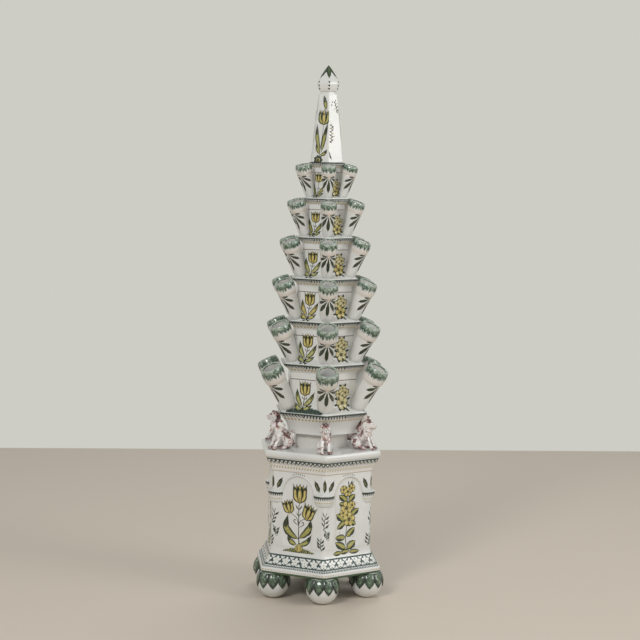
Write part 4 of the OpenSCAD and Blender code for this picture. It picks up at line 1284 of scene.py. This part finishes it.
def lionBlobs():
    chest, head, muzzle, loin = (Vector(lion[n]) for n in ("chest", "head", "muzzle", "loin"))
    blobs = blobChain((-13, 0, 12), loin, 10.8, 8.2) + blobChain(loin, chest, 8.2, 8.2)
    blobs += blobChain(chest, head, 8.2, 7.0)
    blobs += blobChain(head + Vector((2, 0, -1)), muzzle, 5.6, 4.0, 4)
    blobs += [(muzzle + Vector((1.5, side * 1.7, -0.6)), 2.6) for side in bothWays]
    blobs += [(muzzle + Vector((3.0, 0, 1.4)), 1.7), (muzzle + Vector((-0.6, 0, -3.9)), 2.3)]
    for side in bothWays:
        knee = (16, side * 6.2, 13)
        blobs += blobChain((9, side * 5.0, 27), knee, 4.9, 3.3)
        blobs += blobChain(knee, (21, side * 6.6, 3.4), 3.3, 3.2, 4)
        blobs += [(Vector((24.2, side * 6.6 + q * 2.0, 2.2)), 2.1) for q in (-1, 0, 1)]
        blobs += [(Vector((-8.5, side * 7.2, 10.2)), 9.2)]
        blobs += blobChain((-2, side * 10.5, 4.8), (6, side * 11.2, 3.0), 4.2, 3.3, 4)
        blobs += [(Vector((9.2, side * 11.2 + q * 2.0, 2.2)), 2.0) for q in (-1, 0, 1)]
        ear = head + Vector((-2.5, side * 5.2, 5.2)), head + Vector((-3, side * 6.8, 8.6))
        blobs += blobChain(*ear, 2.6, 1.3, 3) + [(head + Vector((5.4, side * 3.0, 2.8)), 2.0)]
    for ring, (out, r, count) in enumerate(((7.6, 2.6, 11), (8.6, 2.9, 12))):
        for j in range(count):
            a = 2 * math.pi * (j + 0.3 * ring) / count
            back = head + Vector((-2.6 - 4.4 * ring, out * math.sin(a), 0.6 - 2.2 * ring + out * math.cos(a)))
            blobs += blobChain(back, back + Vector((-3.6, 0.7 * math.sin(a), -3.4)), r, 0.55 * r, 3)
    for a, b in zip(crest, crest[1:]):
        blobs += blobChain(a, b, *lion["crestR"], 4)
    for side in (-1, 0, 1):
        blobs += blobChain((15.0, side * 3.4, 35), (15.4, side * 3.8, 26), 2.8, 1.2, 4)
    for a, b in zip(tail, tail[1:]):
        blobs += blobChain(a, b, 1.9, 1.8, 5)
    return blobs + [(Vector((-15.5, 11, 32)), 2.9)]


# Manganese brushed over the white: purple brown along the mane, the paws and the haunches, bare between
manganese = {"white": "#dfdedb", "pale": "#c3a49d", "mid": "#85605c", "deep": "#4f3736", "dabMm": 7.5,
             "share": 0.3, "gloss": 0.9}
manganeseGlaze, tree = newMaterial("manganese_brushed_glaze")
dabs = addNode(tree, "TexNoise", {"Scale": perMm(manganese["dabMm"]), "Detail": 3.0, "Distortion": 1.2},
               {"Vector": addNode(tree, "TexCoord").outputs["Object"]})
tone = addNode(tree, "Math", {"operation": "MULTIPLY_ADD", 1: manganese["share"]},
               {0: addNode(tree, "Attribute", {"attribute_name": "mane"}).outputs["Fac"], 2: dabs})
browns = [(0.52, manganese["white"]), (0.58, manganese["pale"]), (0.66, manganese["mid"]),
          (0.8, manganese["deep"])]
glazed(tree, addNode(tree, "ValToRGB", {"stops": browns}, {"Fac": tone}), manganese["gloss"])


def sculpted(blobs):
    # Clay balls pressed together: one skin over all of them, then smoothed
    bm = bmesh.new()
    for centre, r in blobs:
        bmesh.ops.create_icosphere(bm, subdivisions=3, radius=r * mm, matrix=Matrix.Translation(centre * mm))
    rough = bpy.data.meshes.new("lion_rough")
    bm.to_mesh(rough)
    bm.free()
    model = bpy.data.objects.new("lion_rough", rough)
    bpy.context.scene.collection.objects.link(model)
    skin = model.modifiers.new("skin", "REMESH")
    skin.mode, skin.voxel_size = "VOXEL", lion["voxel"] * mm
    soft = model.modifiers.new("soft", "SMOOTH")
    soft.factor, soft.iterations = lion["soft"], lion["smoothing"]
    shape = bpy.data.meshes.new_from_object(model.evaluated_get(bpy.context.evaluated_depsgraph_get()))
    bpy.data.objects.remove(model)
    verts = [v.co / mm for v in shape.vertices]
    return [Vector((v.x, v.y, max(0.0, v.z))) for v in verts], [tuple(p.vertices) for p in shape.polygons]


def maneShare(v):
    # How far each point takes the brown: most along the crest, some on paws and haunches, none on the face
    along = min((v - p.lerp(q, t)).length for p, q in zip(crest, crest[1:]) for t in (0, 0.5, 1))
    share = 1 - smooth(3, 11, along) + 0.5 * (1 - smooth(2, 8, v.z)) + 0.3 * smooth(-4, -16, v.x)
    return share * smooth(3, 8, (v - Vector((23, 0, 44))).length)


def lionSpot(seat, at, out, rx, ry):  # a small painted spot on the lion's face
    def canvas(x, y, lift):
        across, up = Vector((-0.2, 1, 0)), Vector((-0.4, 0, 0.9))
        return tuple(seat @ (Vector(at) + Vector(out) * (lift + 0.3) + across * x + up * y))
    spot(canvas, "darkLine", 0, 0, rx, ry)


brush["body"] = "gallery"
lionVerts, lionFaces = sculpted(lionBlobs())
manes = [maneShare(v) for v in lionVerts]
for k in six:
    seat = atCorner(k, lion["seat"], lion["z"])
    form = [seat @ v for v in lionVerts], lionFaces
    piece = newPiece(f"lion_{k}_sculpted", form, [manganeseGlaze], "gallery",
                     f"lion_{k}")
    mark(piece, "mane", manes)
    for side in bothWays:
        lionSpot(seat, (19.2, side * 3.2, 49.6), (0.85, side * 0.25, 0.3), 1.1, 0.85)
    lionSpot(seat, (26.6, 0, 45.2), (0.8, 0, 0.5), 1.4, 0.9)
print("lions sculpted:", len(lionFaces), "faces each")

# The painting of each stacking piece, as one piece with one material for each colour

for body, store in layers.items():
    names = sorted(store)
    form = merged(*[(store[n]["verts"], store[n]["faces"]) for n in names])
    which = [number for number, n in enumerate(names) for face in store[n]["faces"]]
    piece = newPiece(f"{body}_painting", form, [paintMaterials[n] for n in names], body,
                     faceMaterials=which)
    mark(piece, "across", [a for n in names for a in store[n]["across"]])
    print(body, "painting:", len(which), "faces")

# Floor, light and camera

# A pale matt floor that takes a soft shadow
floor = {"colour": "#d0c5b6", "far": 1.52, "near": -14.0, "side": 14.0, "roughness": 0.55}
mesh = bpy.data.meshes.new("floor")
side, near, far = floor["side"], floor["near"], floor["far"]
mesh.from_pydata([(-side, near, 0), (side, near, 0), (side, far, 0), (-side, far, 0)], [], [(0, 1, 2, 3)])
floorPiece = bpy.data.objects.new("floor", mesh)
bpy.context.scene.collection.objects.link(floorPiece)
paleFloor, tree = newMaterial("pale_matt_floor")
matt = {"Base Color": hexColour(floor["colour"]), "Roughness": floor["roughness"]}
addNode(tree, "OutputMaterial", {}, {"Surface": addNode(tree, "BsdfPrincipled", matt)})
mesh.materials.append(paleFloor)

studio = {"backdrop": "#cdcdc5", "light": "#ffffff", "ambient": 0.36, "aim": (0, 0, 0.45)}
world = bpy.data.worlds.new("studio")
bpy.context.scene.world = world
world.use_nodes = True
tree = world.node_tree
tree.nodes.clear()
path = addNode(tree, "LightPath").outputs
seen = addNode(tree, "Math", {"operation": "MAXIMUM"}, {0: path["Is Camera Ray"], 1: path["Is Glossy Ray"]})
seen = addNode(tree, "Math", {"operation": "MAXIMUM"}, {0: seen, 1: path["Is Transmission Ray"]})
shown = addNode(tree, "Background", {"Color": hexColour(studio["backdrop"]), "Strength": 1.0})
light = addNode(tree, "Background", {"Color": hexColour(studio["light"]), "Strength": studio["ambient"]})
addNode(tree, "OutputWorld", {}, {"Surface": addNode(tree, "MixShader", {}, {0: seen, 1: light, 2: shown})})

# Place in metres, width and watts
softboxes = {"window": ((2.5, -1.5, 1.5), 1.5, 30), "key": ((-1.5, -2.7, 2.3), 0.9, 45),
             "back": ((0.6, 1.3, 2.4), 1.2, 12), "catch": ((-0.7, -2.8, 1.9), 0.22, 5)}
for name, (place, size, watts) in softboxes.items():
    lamp = bpy.data.lights.new(name, "AREA")
    lamp.shape, lamp.size, lamp.energy = "DISK", size, watts
    lampPiece = bpy.data.objects.new(name, lamp)
    lampPiece.location = place
    lampPiece.rotation_euler = (Vector(studio["aim"]) - Vector(place)).to_track_quat("-Z", "Y").to_euler()
    bpy.context.scene.collection.objects.link(lampPiece)

view = {"turn": 5.25, "tilt": 6.01, "roll": 1.25, "distance": 3.3906, "height": 0.8785, "lens": 101.25,
        "sensor": 36.0, "shiftX": -0.0049}
camera = bpy.data.cameras.new("photo_view")
camera.lens, camera.sensor_width, camera.shift_x = view["lens"], view["sensor"], view["shiftX"]
cameraPiece = bpy.data.objects.new("photo_view", camera)
turn = math.radians(view["turn"])
stand = (-view["distance"] * math.sin(turn), -view["distance"] * math.cos(turn), view["height"])
cameraPiece.matrix_world = (Matrix.Translation(stand) @ Matrix.Rotation(-turn, 4, "Z")
                            @ Matrix.Rotation(math.radians(90 - view["tilt"]), 4, "X")
                            @ Matrix.Rotation(math.radians(view["roll"]), 4, "Z"))
bpy.context.scene.collection.objects.link(cameraPiece)
bpy.context.scene.camera = cameraPiece
bpy.context.scene.view_settings.view_transform = "Standard"
